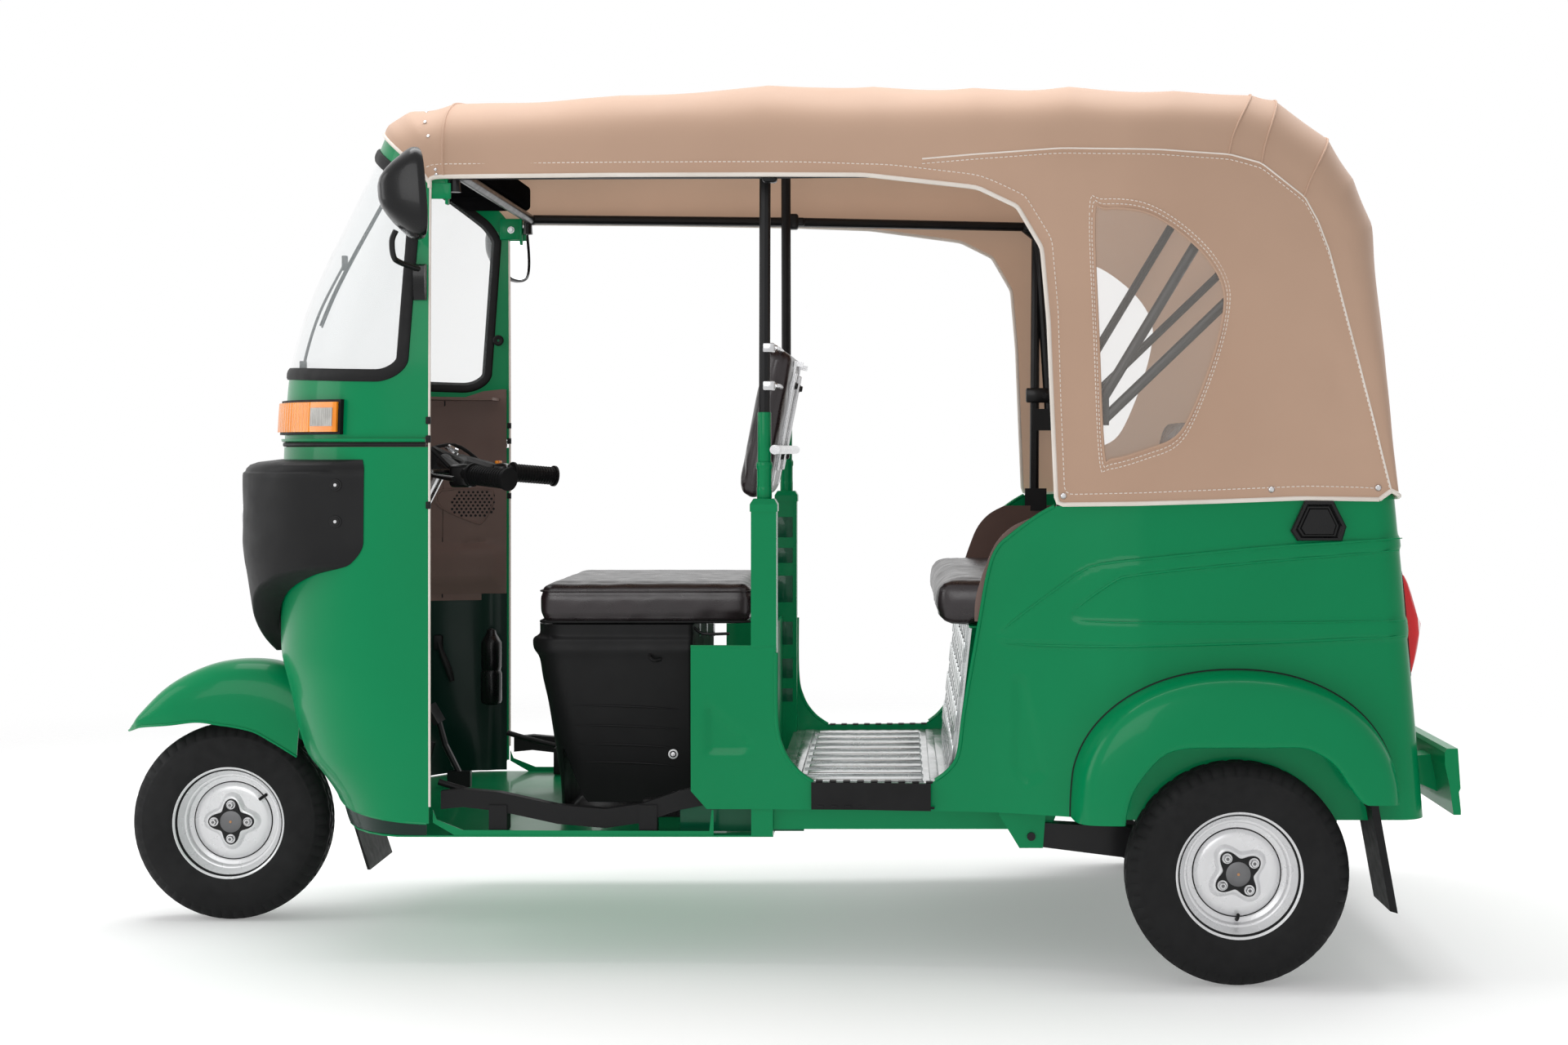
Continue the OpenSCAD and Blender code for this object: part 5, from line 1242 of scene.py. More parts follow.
def windowLoop(share, lift):
    # A closed line on the hood round the window.
    line = onHood(windowLine(share)[::2], lift)
    return np.concatenate([line, line[:1]])


newPiece("hoodStitching", [
    (both(stitches(hem, 9, 5.5)), piping), (both(stitches(seamLine + (0, 1.2, -9), 9, 5.5)), piping),
    (both(join(*[stitches(windowLoop(share, 0.9), 8, 5) for share in (0.05, 0.09)])), piping),
    *[(stitches(line, 9, 5.5), piping) for line in crossSeams]])
seamBands = [both(tube(windowLoop(0.012, 0.2), 2.4, 8, 1)),
             *[tube(line, 2.0, 6, 1) for line in crossSeams],
             tube(hoodGrid[stationRow(1)] + normal[stationRow(1)] * 0.4, 2.4, 6, 1)]
newPiece("hoodSeamBands", [(join(*seamBands), hoodCloth)])
visorRow = hoodGrid[stationRow(0) + 5]
rivetPlaces = [visorRow[-1 - sideParts + k] + (0, 1, 0) for k in (10, 2, -6, -12, -22)]
snapPlaces = onHood([(586, 890), (965, 902), (1160, 905)], 1.0)
stud = lathe([(0.01, 4.2), (3, 4.0), (5.2, 2.4), (6.4, 0.2), (6.4, -1), (0.01, -1)], parts=18)
studs = [moved(stud, p, (0, 0, 0), size) for places, size in ((snapPlaces, 1.0), (rivetPlaces, 0.55))
         for p in places]
newPiece("hoodSnaps", [(both(join(*studs)), steelBright)])


# Clear windows: thin sheets just inside the openings.
def clearSide():
    xs = np.linspace(636, 892, 22)
    zs = np.linspace(946, 1424, 30)
    grid = np.array([[(x, hoodSurface(x, z) - 1.2, z) for x in xs] for z in zs])
    for _ in range(3):
        grid[1:-1, 1:-1, 1] = (grid[:-2, 1:-1, 1] + grid[2:, 1:-1, 1] + grid[1:-1, :-2, 1]
                               + grid[1:-1, 2:, 1]) / 4
    wave = 1.2 * np.sin(grid[..., 0] / 23.0 + grid[..., 2] / 37.0) + 0.8 * np.sin(grid[..., 0] / 41.0
            - grid[..., 2] / 19.0)
    grid[..., 1] += wave * 0.25 - 0.8
    return slab(grid, windowSizes["thick"])


windows = newPiece("hoodWindows", [(clearSide(), windowSheet)], sharp=60)
cut(windows, prism(windowLine(0.02), 100, bodyHalf + 80), "INTERSECT")
other = newPiece("hoodWindowLeft", [(flip(clearSide()), windowSheet)], sharp=60)
cut(other, prism(windowLine(0.02), -bodyHalf - 80, -100), "INTERSECT")
backRows = hoodGrid[stationRow(11):stationRow(14) - 2, sideParts + 10:-sideParts - 10] - (3.2, 0, 0)
backWindow = newPiece("hoodWindowBack", [(slab(backRows, windowSizes["thick"]), windowSheet)], sharp=60)
cut(backWindow, prism([tuple((np.array(p) - (0, rearMiddle)) * 1.02 + (0, rearMiddle)) for p in rearOutline],
                      tailX - 200, tailX + 100, "x"), "INTERSECT")
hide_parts("canopy_windows")
print("hood ready")


# Wheels.

# Outlines as (radius, place along the axle), outer side first.
wheelSizes = {
    "tyre": [(108, 41), (113, 45.5), (122, 48.2), (135, 49.6), (150, 50), (163, 49.2), (173, 47.4), (181, 45),
             (188, 41.5), (193.5, 37.5), (198, 33), (201.5, 27), (203.4, 18), (204, 6)],
    "lugs": 54, "lugDepth": 2.6, "blocks": 36, "blockDepth": 2.2, "grooveDepth": 3.0, "ribs": 120,
    "dish": [(111, 43.5), (114.5, 46.5), (116, 45), (115, 41.5), (108, 38.5), (106, 36), (104.5, 27),
             (101, 23.5),
             (96, 22.5), (93, 20), (91, 11), (86, 7.5), (81, 7.5), (78, 10), (72, 14.5), (63, 16.5),
             (56, 16)],
    "barrel": [(110, -46), (113, -46.5), (116, -45), (116, -42), (109, -39), (106.5, -36), (102, -24),
               (90, -12),
               (88, 2), (90, 8), (92.5, 8), (94, 0), (95.5, -10), (105, -23), (108.5, -35), (109, -38),
               (104, -40),
               (104, -44)],
    "inside": [(106.5, 38), (108.6, 36), (107, 30), (103.8, 21.4), (95, 20.2), (94.2, 9), (90, 4.6),
               (84, 4.4),
               (84, 8), (93, 12), (98, 24)],
    "cap": [(0.01, 31), (10, 30.8), (20, 30.2), (22.4, 29.2), (23, 27), (22, 25), (0.01, 25)],
    "dimple": [(0.01, 31.6), (2.4, 31.5), (3.0, 30.6), (0.01, 30.4)],
    "line": [(79.6, 9.2), (81.4, 9.0), (81.8, 8.0), (80.2, 8.0)],
    "drum": [(11.5, 24), (10.8, 20), (10.8, -36), (50, -38), (66, -36), (68, -12), (60, 2), (30, 12)],
    "nutCircle": 35}


def tyreShape():
    curve = smoothPath(wheelSizes["tyre"], 3)
    curve = np.concatenate([curve, (curve * (1, -1))[::-1]])
    turn = np.linspace(0, 2 * math.pi, 217)[:-1]
    r, h = curve[:, 0][:, None], curve[:, 1][:, None]
    shoulder = np.clip((np.abs(h) - 27) / 5, 0, 1) * np.clip((46 - np.abs(h)) / 3, 0,
            1) * np.clip((r - 176) / 5, 0, 1)
    lug = np.where(np.sin(turn * wheelSizes["lugs"])[None, :] > -0.25, 0.0,
                   1.0) * shoulder * wheelSizes["lugDepth"]
    tread = np.where(np.sin(turn * wheelSizes["blocks"] + h * 0.22) > 0.78, 1.0, 0.0)
    tread = tread * np.clip((26 - np.abs(h)) / 4, 0, 1) * wheelSizes["blockDepth"]
    ringCut = wheelSizes["grooveDepth"] * (np.exp(-((np.abs(h) - 10) / 1.8) ** 2)
            + np.exp(-((np.abs(h) - 25) / 1.6) ** 2)) * (r > 195)
    sidewall = 0.9 * (np.exp(-((r - 178) / 1.2) ** 2) + np.exp(-((r - 168) / 0.9) ** 2)
                      + 0.8 * np.exp(-((r - 128) / 1.4) ** 2)
                   - 0.7 * np.exp(-((r - 120) / 1.6) ** 2))
    ribs = 0.5 * np.clip(np.sin(turn * wheelSizes["ribs"])[None, :], 0, 1) * np.exp(-((r - 172) / 3.4) ** 2)
    rr = r - lug - tread - ringCut
    hh = h - np.sign(h) * (lug * 0.5 + 0.6 - np.minimum(sidewall + ribs, 0.6)) * (np.abs(h) > 27)
    grid = np.stack([rr * np.cos(turn), np.broadcast_to(hh, rr.shape), rr * np.sin(turn)], -1)
    inner = np.stack([np.clip(rr - 9, 106, None) * np.cos(turn), np.broadcast_to(hh * 0.82, rr.shape),
                      np.clip(rr - 9, 106, None) * np.sin(turn)], -1)
    return slab(grid, 0, loop=True, back=inner)


def discShape():
    # Pressed disc with a four-lobed raise, from the lip to the hub bore.
    turn = np.radians(np.arange(0, 360, 3))
    outer = smoothPath(wheelSizes["dish"], 3)
    rows = [[(r * math.cos(a), h, r * math.sin(a)) for a in turn] for r, h in outer]
    lobe = 48.5 + 9.5 * np.cos(4 * turn)
    for share, lift in ((1.04, 0.4), (1.0, 2.0), (0.95, 5.6), (0.90, 8.4), (0.84, 9.8), (0.74, 10.2),
                        (0.55, 10.0)):
        rows.append([(lobe[i] * share * math.cos(a), 15.6 + lift, lobe[i] * share * math.sin(a))
                     for i, a in enumerate(turn)])
    grid = np.array(rows)
    return slab(grid, 0, loop=True, back=grid - (0, 2.6, 0))


def starPlate():
    turn = np.radians(np.arange(0, 360, 3))
    lobeEdge = 38 + 9.5 * np.cos(4 * turn)
    rows = [[(e * s * math.cos(a), 25.4 + h, e * s * math.sin(a)) for e, a in zip(lobeEdge, turn)]
            for s, h in ((1.0, 0), (1.0, 2.4), (0.95, 3.6), (0.45, 3.8))]
    return loft(rows)


def wheelSet(turned):
    spin = lambda s: moved(s, (0, 0, 0), (0, turned, 0))
    around = np.radians([0, 90, 180, 270])
    spots = [(wheelSizes["nutCircle"] * math.cos(a), wheelSizes["nutCircle"] * math.sin(a)) for a in around]
    nuts = [bolt((x, 28.4, z), (0, 1, 0), 13.0, 8.5, 1.2) for x, z in spots]
    stubs = [tube([(x, 30, z), (x, 37.4, z)], 3.1, 12, 1) for x, z in spots]
    ring = lambda outline, parts=96: lathe(wheelSizes[outline], (0, 0, 0), parts)
    return [(spin(discShape()), rimPaint), (ring("barrel"), rimPaint), (ring("inside"), rimPaint),
            (ring("line"), mouldedBlack), (spin(starPlate()), tubePaint), (spin(join(*nuts)), steelBright),
            (spin(join(*stubs)), castGrey), (spin(ring("cap", 40)), castGrey),
            (spin(ring("dimple", 16)), copperCoat)]


def valve(angle, h=9):
    a = math.radians(angle)
    place = np.array([math.cos(a), 0, math.sin(a)])
    return tube([place * 86 + (0, h - 4, 0), place * 85 + (0, h + 3, 0), place * 81 + (0, h + 11, 0),
                 place * 74 + (0, h + 17, 0)],
                [3.8, 3.6, 3.0, 3.4, 3.4], 10, 4)


wheelPlaces = {
    # name: (node, hub, outward side, turn of the disc, angle of the valve)
    "front": ("front", (frontX, 0, axleZ), -1, 0, 38),
    "rearLeft": ("rear_left", (rearX, -hubY, axleZ), -1, 55, -90),
    "rearRight": ("rear_right", (rearX, hubY, axleZ), 1, 55, -90)}
for name, (stands, hub, outward, turned, stem) in wheelPlaces.items():
    def seated(shape):
        points = np.asarray(shape[0]) * (1, outward, 1)
        return points + hub, ([tuple(reversed(f)) for f in shape[1]] if outward < 0 else shape[1])

    newPiece(name + "Tyre", [(seated(tyreShape()), tyreRubber)], stands + "_wheel", 34,
             [stands + "_tyre"])
    parts = [(seated(shape), made) for shape, made in wheelSet(turned)]
    parts += [(seated(lathe(wheelSizes["drum"], (0, 0, 0), 64)), castGrey), (seated(valve(stem)), softRubber)]
    newPiece(name + "Rim", parts, stands + "_wheel", 34, [stands + "_rim"])
print("wheels ready")


seatZ, seatX = 711, postX - 453
# Each seam: (axis, where, how wide it holds). The box is the cushion's before it is leaned and placed.
seatSizes = {
    "driverCushion": {
        "low": (seatX, -260, 631), "high": (postX - 34, 260, 711), "radius": 22, "place": (0, 0, 0),
                      "lean": 0,
        "seams": [(2, 646, 7), (2, 692, 7), (1, -226, 6), (1, 226, 6)],
        "cell": 8.0, "swell": 24, "finer": True, "stands": "driver_seat"},
    "driverRest": {
        "low": (0, -210, 0), "high": (56, 210, 300), "radius": 20, "place": (postX - 66, 0, 886), "lean": 11,
        "seams": [(0, 16, 7), (0, 42, 8), (2, 232, 6)],
        "cell": 7.5, "swell": 24, "finer": True, "stands": "driver_backrest"},
    "benchCushion": {
        "low": (356, -500, 643.5), "high": (768, 500, 728.5), "radius": 30, "place": (0, 0, 0), "lean": 0,
        "seams": [(2, 664, 7), (1, -447, 7), (1, 447, 7), (1, 0, 6), (0, 470, 7)],
        "cell": 10.0, "swell": 26, "finer": False, "stands": "passenger_seat"},
    "benchRest": {
        "low": (0, -500, 11.3), "high": (70, 500, 411), "radius": 26, "place": (796, 0, 643.3), "lean": 14,
        "seams": [(0, 22, 8), (1, -447, 7), (1, 447, 7), (1, 0, 6), (2, 300, 6)],
        "cell": 10.0, "swell": 26, "finer": False, "stands": "passenger_backrest"}}
cloth = {"pressure": 4.0, "frames": 14, "quality": 5, "mass": 0.25, "stretch": 12, "shear": 6, "bend": 0.8,
         "quickCell": 1.7, "sewn": 3.4, "wrinkle": 0.35, "slack": 3.0, "fill": 0.6}


def cushionSkin(low, high, radius, cell):
    # A closed soft box with rounded edges as an even quad skin, in millimetres.
    piece = meshObject("skin", block(low, high, radius, 4))
    work = piece.modifiers.new("skin", "REMESH")
    work.mode = "VOXEL"
    work.voxel_size = cell * mm
    bake(piece, 180)
    return piece


def inflate(piece, limit, pins):
    # Puffs the skin as stuffed cloth, then keeps the movement under the limit.
    before = np.array([v.co[:] for v in piece.data.vertices])
    work = piece.modifiers.new("cloth", "CLOTH")
    settings = work.settings
    settings.quality = cloth["quality"]
    settings.mass = cloth["mass"]
    settings.tension_stiffness = settings.compression_stiffness = cloth["stretch"]
    settings.shear_stiffness = cloth["shear"]
    settings.bending_stiffness = cloth["bend"]
    settings.use_pressure = True
    settings.uniform_pressure_force = cloth["pressure"]
    settings.effector_weights.gravity = 0
    work.collision_settings.use_collision = False
    group = piece.vertex_groups.new(name="held")
    for index, weight in enumerate(pins(before / mm)):
        group.add([index], float(weight), "REPLACE")
    settings.vertex_group_mass = "held"
    work.point_cache.frame_start = 1
    work.point_cache.frame_end = cloth["frames"]
    for step in range(1, cloth["frames"] + 1):
        scene.frame_set(step)
    made = bpy.data.meshes.new_from_object(piece.evaluated_get(bpy.context.evaluated_depsgraph_get()))
    after = np.array([v.co[:] for v in made.vertices])
    scene.frame_set(1)
    piece.modifiers.clear()
    move = after - before
    far = np.linalg.norm(move, axis=1, keepdims=True)
    after = before + move * np.minimum(1, limit * mm / np.maximum(far, 1e-9))
    piece.data.vertices.foreach_set("co", after.ravel())
    piece.data.update()


def seatPiece(name, low, high, radius, place, lean, seams, cell, swell, finer, stands):
    # Stuffed cushion with sewn seams.
    piece = cushionSkin(low, high, radius, cell * (1.0))
    low, high = np.array(low, float), np.array(high, float)
    core = (low + high) / 2

    def pins(points):
        # The border that the seams hold.
        hold = np.zeros(len(points))
        for axis, at, width in seams:
            hold = np.maximum(hold, np.exp(-((points[:, axis] - at) / width) ** 2))
        return np.clip(hold, 0, 1)

    inflate(piece, swell, pins)
    points = np.array([v.co[:] for v in piece.data.vertices]) / mm
    for axis, at, width in seams:
        # A sewn line draws the leather in.
        away = points - core
        away[:, axis] = 0
        far = np.linalg.norm(away, axis=1, keepdims=True)
        sewn = cloth["sewn"] * np.exp(-((points[:, axis] - at) / (width * 0.55)) ** 2)
        points -= sewn[:, None] * away / np.maximum(far, 1e-9)
    dice = np.random.RandomState(len(name))
    waves = sum(dice.uniform(0.2, 0.7) * np.sin(points @ (dice.normal(0, 1, 3) / dice.uniform(9, 40))
            + dice.uniform(0, 6.3))
                for _ in range(22))
    normal = np.array([v.normal[:] for v in piece.data.vertices])
    points += normal * (waves * cloth["wrinkle"])[:, None]
    # It never leaves its own room.
    points = np.clip(points, low - cloth["slack"], high + cloth["slack"])
    if name == "benchCushion":
        # The bench narrows with the body's sides.
        wide = np.minimum(500, bodyPlan(points[:, 0]) - 0.5 - wall - 22)
        points[:, 1] *= wide / 500
    matrix = np.array(Matrix.Rotation(math.radians(lean), 3, "Y"))
    points = points @ matrix.T + place
    piece.data.vertices.foreach_set("co", (points * mm).ravel())
    piece.data.update()
    if finer:
        work = piece.modifiers.new("finer", "SUBSURF")
        work.levels = work.render_levels = 1
        bake(piece, 180)
    piece.data.polygons.foreach_set("use_smooth", [True] * len(piece.data.polygons))
    piece.name = name
    piece.data.materials.clear()
    piece.data.materials.append(seatLeather)
    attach(piece, "body")
    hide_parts(stands)


for name, values in seatSizes.items():
    seatPiece(name, **values)


def seamCord(z, thick, radius=26, out=0.5):
    # Cord sewn round the driver's cushion at one height.
    low, high = (seatSizes["driverCushion"][key] for key in ("low", "high"))
    x0, x1, y0, y1 = low[0] - out, high[0] + out, low[1] - out, high[1] + out
    path = []
    for cx, cy, start in ((x1 - radius, y1 - radius, 0), (x0 + radius, y1 - radius, 90),
                          (x0 + radius, y0 + radius, 180),
                          (x1 - radius, y0 + radius, 270)):
        for a in np.radians(np.linspace(start, start + 90, 7)):
            path.append((cx + radius * math.cos(a), cy + radius * math.sin(a), z))
    return tube(path, thick, 8, 1, True)


newPiece("seatCords", [(seamCord(636, 2.4), softRubber), (seamCord(696, 1.8), seatLeather)])


# Mudguard.

guardSizes = {"half": 75, "thick": 2.6, "line": [
    (-217, 188, -217, 184, 0.12), (-205, 203, -200, 190, 0.4), (-190, 222, -178, 197, 0.66),
        (-145, 268, -118, 203, 0.9),
    (-101, 298, -57, 210, 0.98), (-48, 321, -10, 204, 1), (0, 331, 18, 200, 1), (45, 333, 60, 190, 1),
        (90, 328, 97, 170, 1),
    (130, 312, 130, 150, 1), (162, 290, 149, 138, 1)]}
stations = smoothPath(guardSizes["line"], 8)
turn = np.radians(np.linspace(-90, 90, 61))
rows = []
for cx, cz, sx, sz, share in stations:
    upward = spow(np.cos(turn), 0.7)
    rows.append(np.stack([frontX + sx + (cx - sx) * upward,
                          guardSizes["half"] * share * spow(np.sin(turn), 0.7),
                          axleZ + 3 + sz + (cz - sz) * spow(np.cos(turn), 0.6)], -1))
guardGrid = np.array(rows)
guard = slab(guardGrid, guardSizes["thick"])         # its thickness goes inwards
if guard[0][len(guard[0]) // 2 + 61 * 40 + 30][2] > guardGrid[40, 30, 2]:
    guard = slab(guardGrid, -guardSizes["thick"])
newPiece("frontMudguard", [(guard, bodyPaint),
                           (join(*[tube(guardGrid[:, k], 2.6, 8, 1) for k in (0, -1)]), bodyPaint)],
         "steering", 40, ["front_mudguard"])
print("seats and mudguard ready")


# Driver's seat base, posts and floor fittings.

# Rows: (height, how far the front stands back, how far the sides stand in).
baseRows = [(245, 44, 42), (262, 43, 41), (320, 40, 36), (395, 30, 26), (470, 20, 14), (520, 10, 7),
            (560, 4, 2), (578, -6, -2),
            (590, -9, 0), (600, -8, 1), (606, 0, 4), (612, 4, 5), (seatZ - 81, 4, 5)]


def baseRing(z, front, sideIn):
    x0, x1, w, r = seatX - 12 + front, postX - 151, 260 - sideIn, 60
    ring = []
    for cx, cy, start, cr in ((x0 + r, w - r, 90, r), (x0 + r, r - w, 180, r), (x1 - 10, 10 - w, 270, 10),
                              (x1 - 10, w - 10, 0, 10)):
        ring += [(cx + cr * math.cos(a), cy + cr * math.sin(a), z)
                 for a in np.radians(np.linspace(start, start + 90, 9))]
    return smoothPath(np.array(ring), 1)


rings = [baseRing(*row) for row in smoothPath(baseRows, 4)]
seatBox = newPiece("seatBase", [(loft(rings), mouldedBlack)], sharp=40, replaced=["seat_base"])
cut(seatBox, block((seatX + 40, -220, 246), (postX - 156, 220, seatZ - 90), 6))


def baseFace(z):
    # Near side of the seat base at a height.
    return np.interp(z, [r[0] for r in baseRows], [r[2] for r in baseRows]) - 260


seatLines = []
for z, x0, x1 in ((470, -360, -150), (430, -355, -150), (392, -350, -152), (356, -345, -152)):
    line = [(x, baseFace(z) - 0.6, z - 8 * ((x - x0) / (x1 - x0)) ** 2) for x in np.linspace(x0, x1, 14)]
    seatLines.append(tube(line, [0.3, 1.8, 2.2, 1.8, 0.3], 8, 1))
hook = tube([(-205, baseFace(560) - 2, 572), (-205, baseFace(548) - 9, 566), (-196, baseFace(548) - 10, 560),
             (-184, baseFace(560) - 4, 562)], 3.2, 8, 4)
lockAt = (-163, baseFace(372) - 1, 372)
lock = lathe([(0.01, -3.4), (4.2, -3), (4.6, 1), (0.01, 1)], lockAt, 20)
lockRing = lathe([(6.6, -1.6), (9.6, -1.2), (9.8, 1), (6.6, 1)], lockAt, 24)
newPiece("seatBaseLines", [(join(*seatLines, hook), mouldedBlack), (lock, steelBright), (lockRing, rimPaint)])
rods = join(*[tube([(x, -212 + dy, 604), (x, -212 + dy, 631)], 2.0, 8, 1)
              for x, dy in ((-112, 0), (-98, 4), (-84, 0))])
rail = tube([(-150, -222, 628), (-126, -225, 624), (-104, -225, 610), (-52, -225, 610)], 3.0, 8, 4)
newPiece("seatRods", [(rods, steelBright), (rail, tubePaint)])

# Backrest plate on its bracket, with clamps round the two uprights.
def leaned(shape):
    rest = seatSizes["driverRest"]
    return moved(shape, rest["place"], (0, rest["lean"], 0))


restBolts = [bolt((66, y, z), (1, 0, 0), 11, 6) for y in (-105, 105) for z in (90, 236)]
newPiece("restPlate", [(leaned(both(block((58, 92, 60), (66, 118, 262), 2))), steelBright),
                       (leaned(join(*restBolts)), tubePaint)])
clamps = []
for z in (1096, 1168):
    clamps += [block((postX - 2, 408, z - 9), (postX + 20, 438, z + 9), 3),
               bolt((postX + 20, 420, z), (1, 0, 0), 9, 5),
               tube([(postX + 14, 418, z), (postX + 20, 300, z + 4), (postX + 22, 118, z + 2)], 4.5, 8, 3)]
newPiece("restArms", [(both(join(*clamps)), steelBright)])

# Green sleeves over the uprights: a stepped collar below and a plain leg above.
sleeveSizes = {
    "collar": [(11.4, 0), (13.8, 0), (14.4, 2), (14.4, 20), (13.8, 23), (13.8, 55), (15.4, 58), (15.6, 66),
               (14, 70),
               (11.4, 70)],
    "leg": [(11.3, 0), (12.6, 0), (12.8, 1), (12.8, 92), (12.2, 94), (11.3, 94)]}
sleeve = lathe(sleeveSizes["collar"], (postX, 420, 882), 32, "z")
greenLeg = lathe(sleeveSizes["leg"], (postX, 420, 952), 28, "z")
newPiece("uprightSleeves", [(both(sleeve), bodyPaint), (both(greenLeg), bodyPaint)])

# Pressed slots down the inner face of the posts, in the darker green: painted shade in the slots.
slots = []
for z, tall in ((800, 46), (736, 34), (660, 60), (560, 52), (480, 44), (420, 30)):
    slots.append(block((10, 398.8, z - tall / 2), (44, 400.8, z + tall / 2), 0.6))
    slots.append(block((14, 398, z - tall / 2 + 5), (40, 399.8, z + tall / 2 - 5), 0.5))
newPiece("postSlots", [(both(join(*slots)), innerShadePaint)])

# Passenger floor, riser and steps.

silverSheet = finish("silverSheet", (0.56, 0.58, 0.58), (0.44, 0.46, 0.46), 8.0, (0.16, 0.3), 0.12, 500,
                     "noise", 0.0004,
                     Metallic=0.85, Coat_Weight=0.3)
for stands in ("passenger_floor", "seat_riser"):
    nodes[stands].data.materials[0] = silverSheet
# The dark strips beside the ribs are painted shade in the grooves between them.
ribs, gapShades = [], []
x0, x1 = doorFront + 52, doorRear - 66
for y in range(-360, 361, 90):
    ribs.append(block((x0, y - 20, stepZ + 0.5), (x1, y + 20, stepZ + 7.5), 3.4, 3))
    gapShades.append(block((x0 + 10, y + 30, stepZ - 0.4), (x1 - 10, y + 38, stepZ + 1.2), 0.6))
cross = [block((x0, -400, stepZ + 0.4), (x1, 400, stepZ + 6.4), 3, 3)
         for x0, x1 in ((doorFront + 20, doorFront + 40), (doorRear - 52, doorRear - 34))]
newPiece("floorRibs", [(join(*ribs, *cross), silverSheet), (join(*gapShades), deepShadePaint)])
riserRibs = []
for y in range(-360, 361, 90):
    for z in range(int(stepZ) + 34, int(stepZ) + 233, 66):
        x = doorRear - 10 + 35 * (z - stepZ) / (deckZ - stepZ) - 4.4
        riserRibs.append(moved(block((-2.4, y - 26, 0), (1.6, y + 26, 40), 1.6, 2), (x - 2, 0, z),
                               (0, 6.5, 0)))
newPiece("riserSlots", [(join(*riserRibs), silverSheet)])
stepMarks = []
for k in range(9):
    x = doorFront + 78 + k * 26
    stepMarks.append(block((x, bodyY(x, 346) + 5.6, 300), (x + 12, bodyY(x, 346) + 8.2, 305), 0.8))
    stepMarks.append(block((x - 4, bodyY(x, 346) - 16, 347.6), (x + 9, bodyY(x, 346) + 3, 350.4), 1.0))
newPiece("stepMarks", [(both(join(*stepMarks)), mouldedBlack)])

# Clips and a cable along the sill ducts.
ductClips = []
for x in (cabX + 110, cabX + 395):
    ductClips += [block((x + 3, -383, 246), (x + 31, -355, 306), 3),
                  block((x + 9, -386, 250), (x + 25, -382, 290), 1.5)]
cable = tube([(cabX + 6, -374, 338), (cabX + 60, -376, 322), (cabX + 150, -377, 300), (cabX + 250, -378, 276),
              (cabX + 340, -378, 268),
              (cabX + 400, -378, 282), (cabX + 470, -376, 312), (cabX + 560, -374, 322)], 6, 10, 5)
newPiece("ductClips", [(both(join(*ductClips, cable)), softRubber)])

# Dashboard.

def liningAngle(x, z):
    # The plan angle at which the cab's skin stands at x.
    return np.degrees(np.arccos(np.clip((cabX - np.asarray(x, float)) / cabReach(z), 0,
            1) ** (1 / cabSizes["power"])))


def onCab(x, z, d):
    return cabPoint(liningAngle(x, z), z, d)


# Moulded card over the rear of the lining: its top edge climbs to the pillar.
cardTop = plainTable([(cabX - 190, 1066), (cabX - 150, 1072), (cabX - 96, 1096), (cabX - 60, 1108),
                      (cabX - 14, 1113), (cabX, 1112)])
cardX = np.concatenate([np.linspace(cabX - 190, cabX - 20, 34), np.linspace(cabX - 17, cabX - 6, 6)])
cardRows = np.linspace(0, 1, 40)


def cardGrid(d, low=648.0):
    return np.array([[onCab(x, low + (cardTop(x) - low) * k, d) for x in cardX] for k in cardRows])


face = cardGrid(wall + 8.2)
height = face[..., 2]
bulge = 10.0 * np.clip((762 - height) / 18, 0, 1) * np.clip((height - 652) / 30, 0, 1)
bulge = bulge + 4.0 * np.exp(-((height - 1000) / 60.0) ** 2)
groove = 3.0 * np.exp(-((height - 764) / 2.6) ** 2)
proud = (bulge - groove) * np.clip((cabX - 4 - face[..., 0]) / 30, 0, 1)
face = face + proud[..., None] * np.array([0, -1, 0])
dashCard = slab(face, 0, back=cardGrid(wall + 0.6))
# Below the card the cab's inside is near-black: painted shade, where it lies in shadow.
wellX = np.concatenate([np.linspace(cabX - 200, cabX - 20, 24), np.linspace(cabX - 17, cabX - 5, 5)])
wellZ = np.linspace(246, 650, 40)
wellShadeFace = np.array([[onCab(x, z, wall + 2.4 + 5.0 * math.exp(-((x - cabX + 46) / 16) ** 2)) for x in wellX]
                     for z in wellZ])
wellBack = np.array([[onCab(x, z, wall + 0.4) for x in wellX] for z in wellZ])
newPiece("cabCards", [(both(dashCard), brownLining), (both(slab(wellShadeFace, 0, back=wellBack)), deepShadePaint)])

# Speakers: outline as (x, z), then rings of (share of the outline, depth), then the holes' spacing.
speakerSizes = {
    "outline": [(cabX - 160, 884), (cabX - 50, 886), (cabX - 34, 876), (cabX - 36, 850), (cabX - 56, 813),
                (cabX - 78, 807), (cabX - 160, 845)],
    "rings": ((1.0, 4.0), (1.0, 11.0), (0.97, 12.6), (0.92, 12.6), (0.90, 11.2), (0.5, 11.4), (0.1, 11.4)),
    "across": 10.6, "down": 7.6, "hole": [(0.01, -0.9), (2.9, -0.8), (2.9, 0.9), (0.01, 1.0)]}
speakerOutline = smoothPath(speakerSizes["outline"], 3, True)
speakerMiddle = speakerOutline.mean(0)
speakerRings = [[onCab(*(speakerMiddle + (p - speakerMiddle) * size), wall + d) for p in speakerOutline]
                for size, d in speakerSizes["rings"]]
holes = []
for i in range(9):
    for j in range(11):
        x, z = cabX - 146 + speakerSizes["across"] * (j + (i % 2) / 2), 818 + speakerSizes["down"] * i
        if math.hypot((x - speakerMiddle[0] - 2) / 56, (z - speakerMiddle[1] - 2) / 34) < 1:
            holes.append(moved(lathe(speakerSizes["hole"], parts=8), tuple(onCab(x, z, wall + 11.6))))
seam = [[cabPoint(t, z, wall + 7.0) for t in np.linspace(-86, 86, 60)] for z in (752, 1000)]
uprights = [[cabPoint(t, z, wall + 7.0) for z in np.linspace(640, 1086, 12)] for t in (-70, -44, 44, 70)]
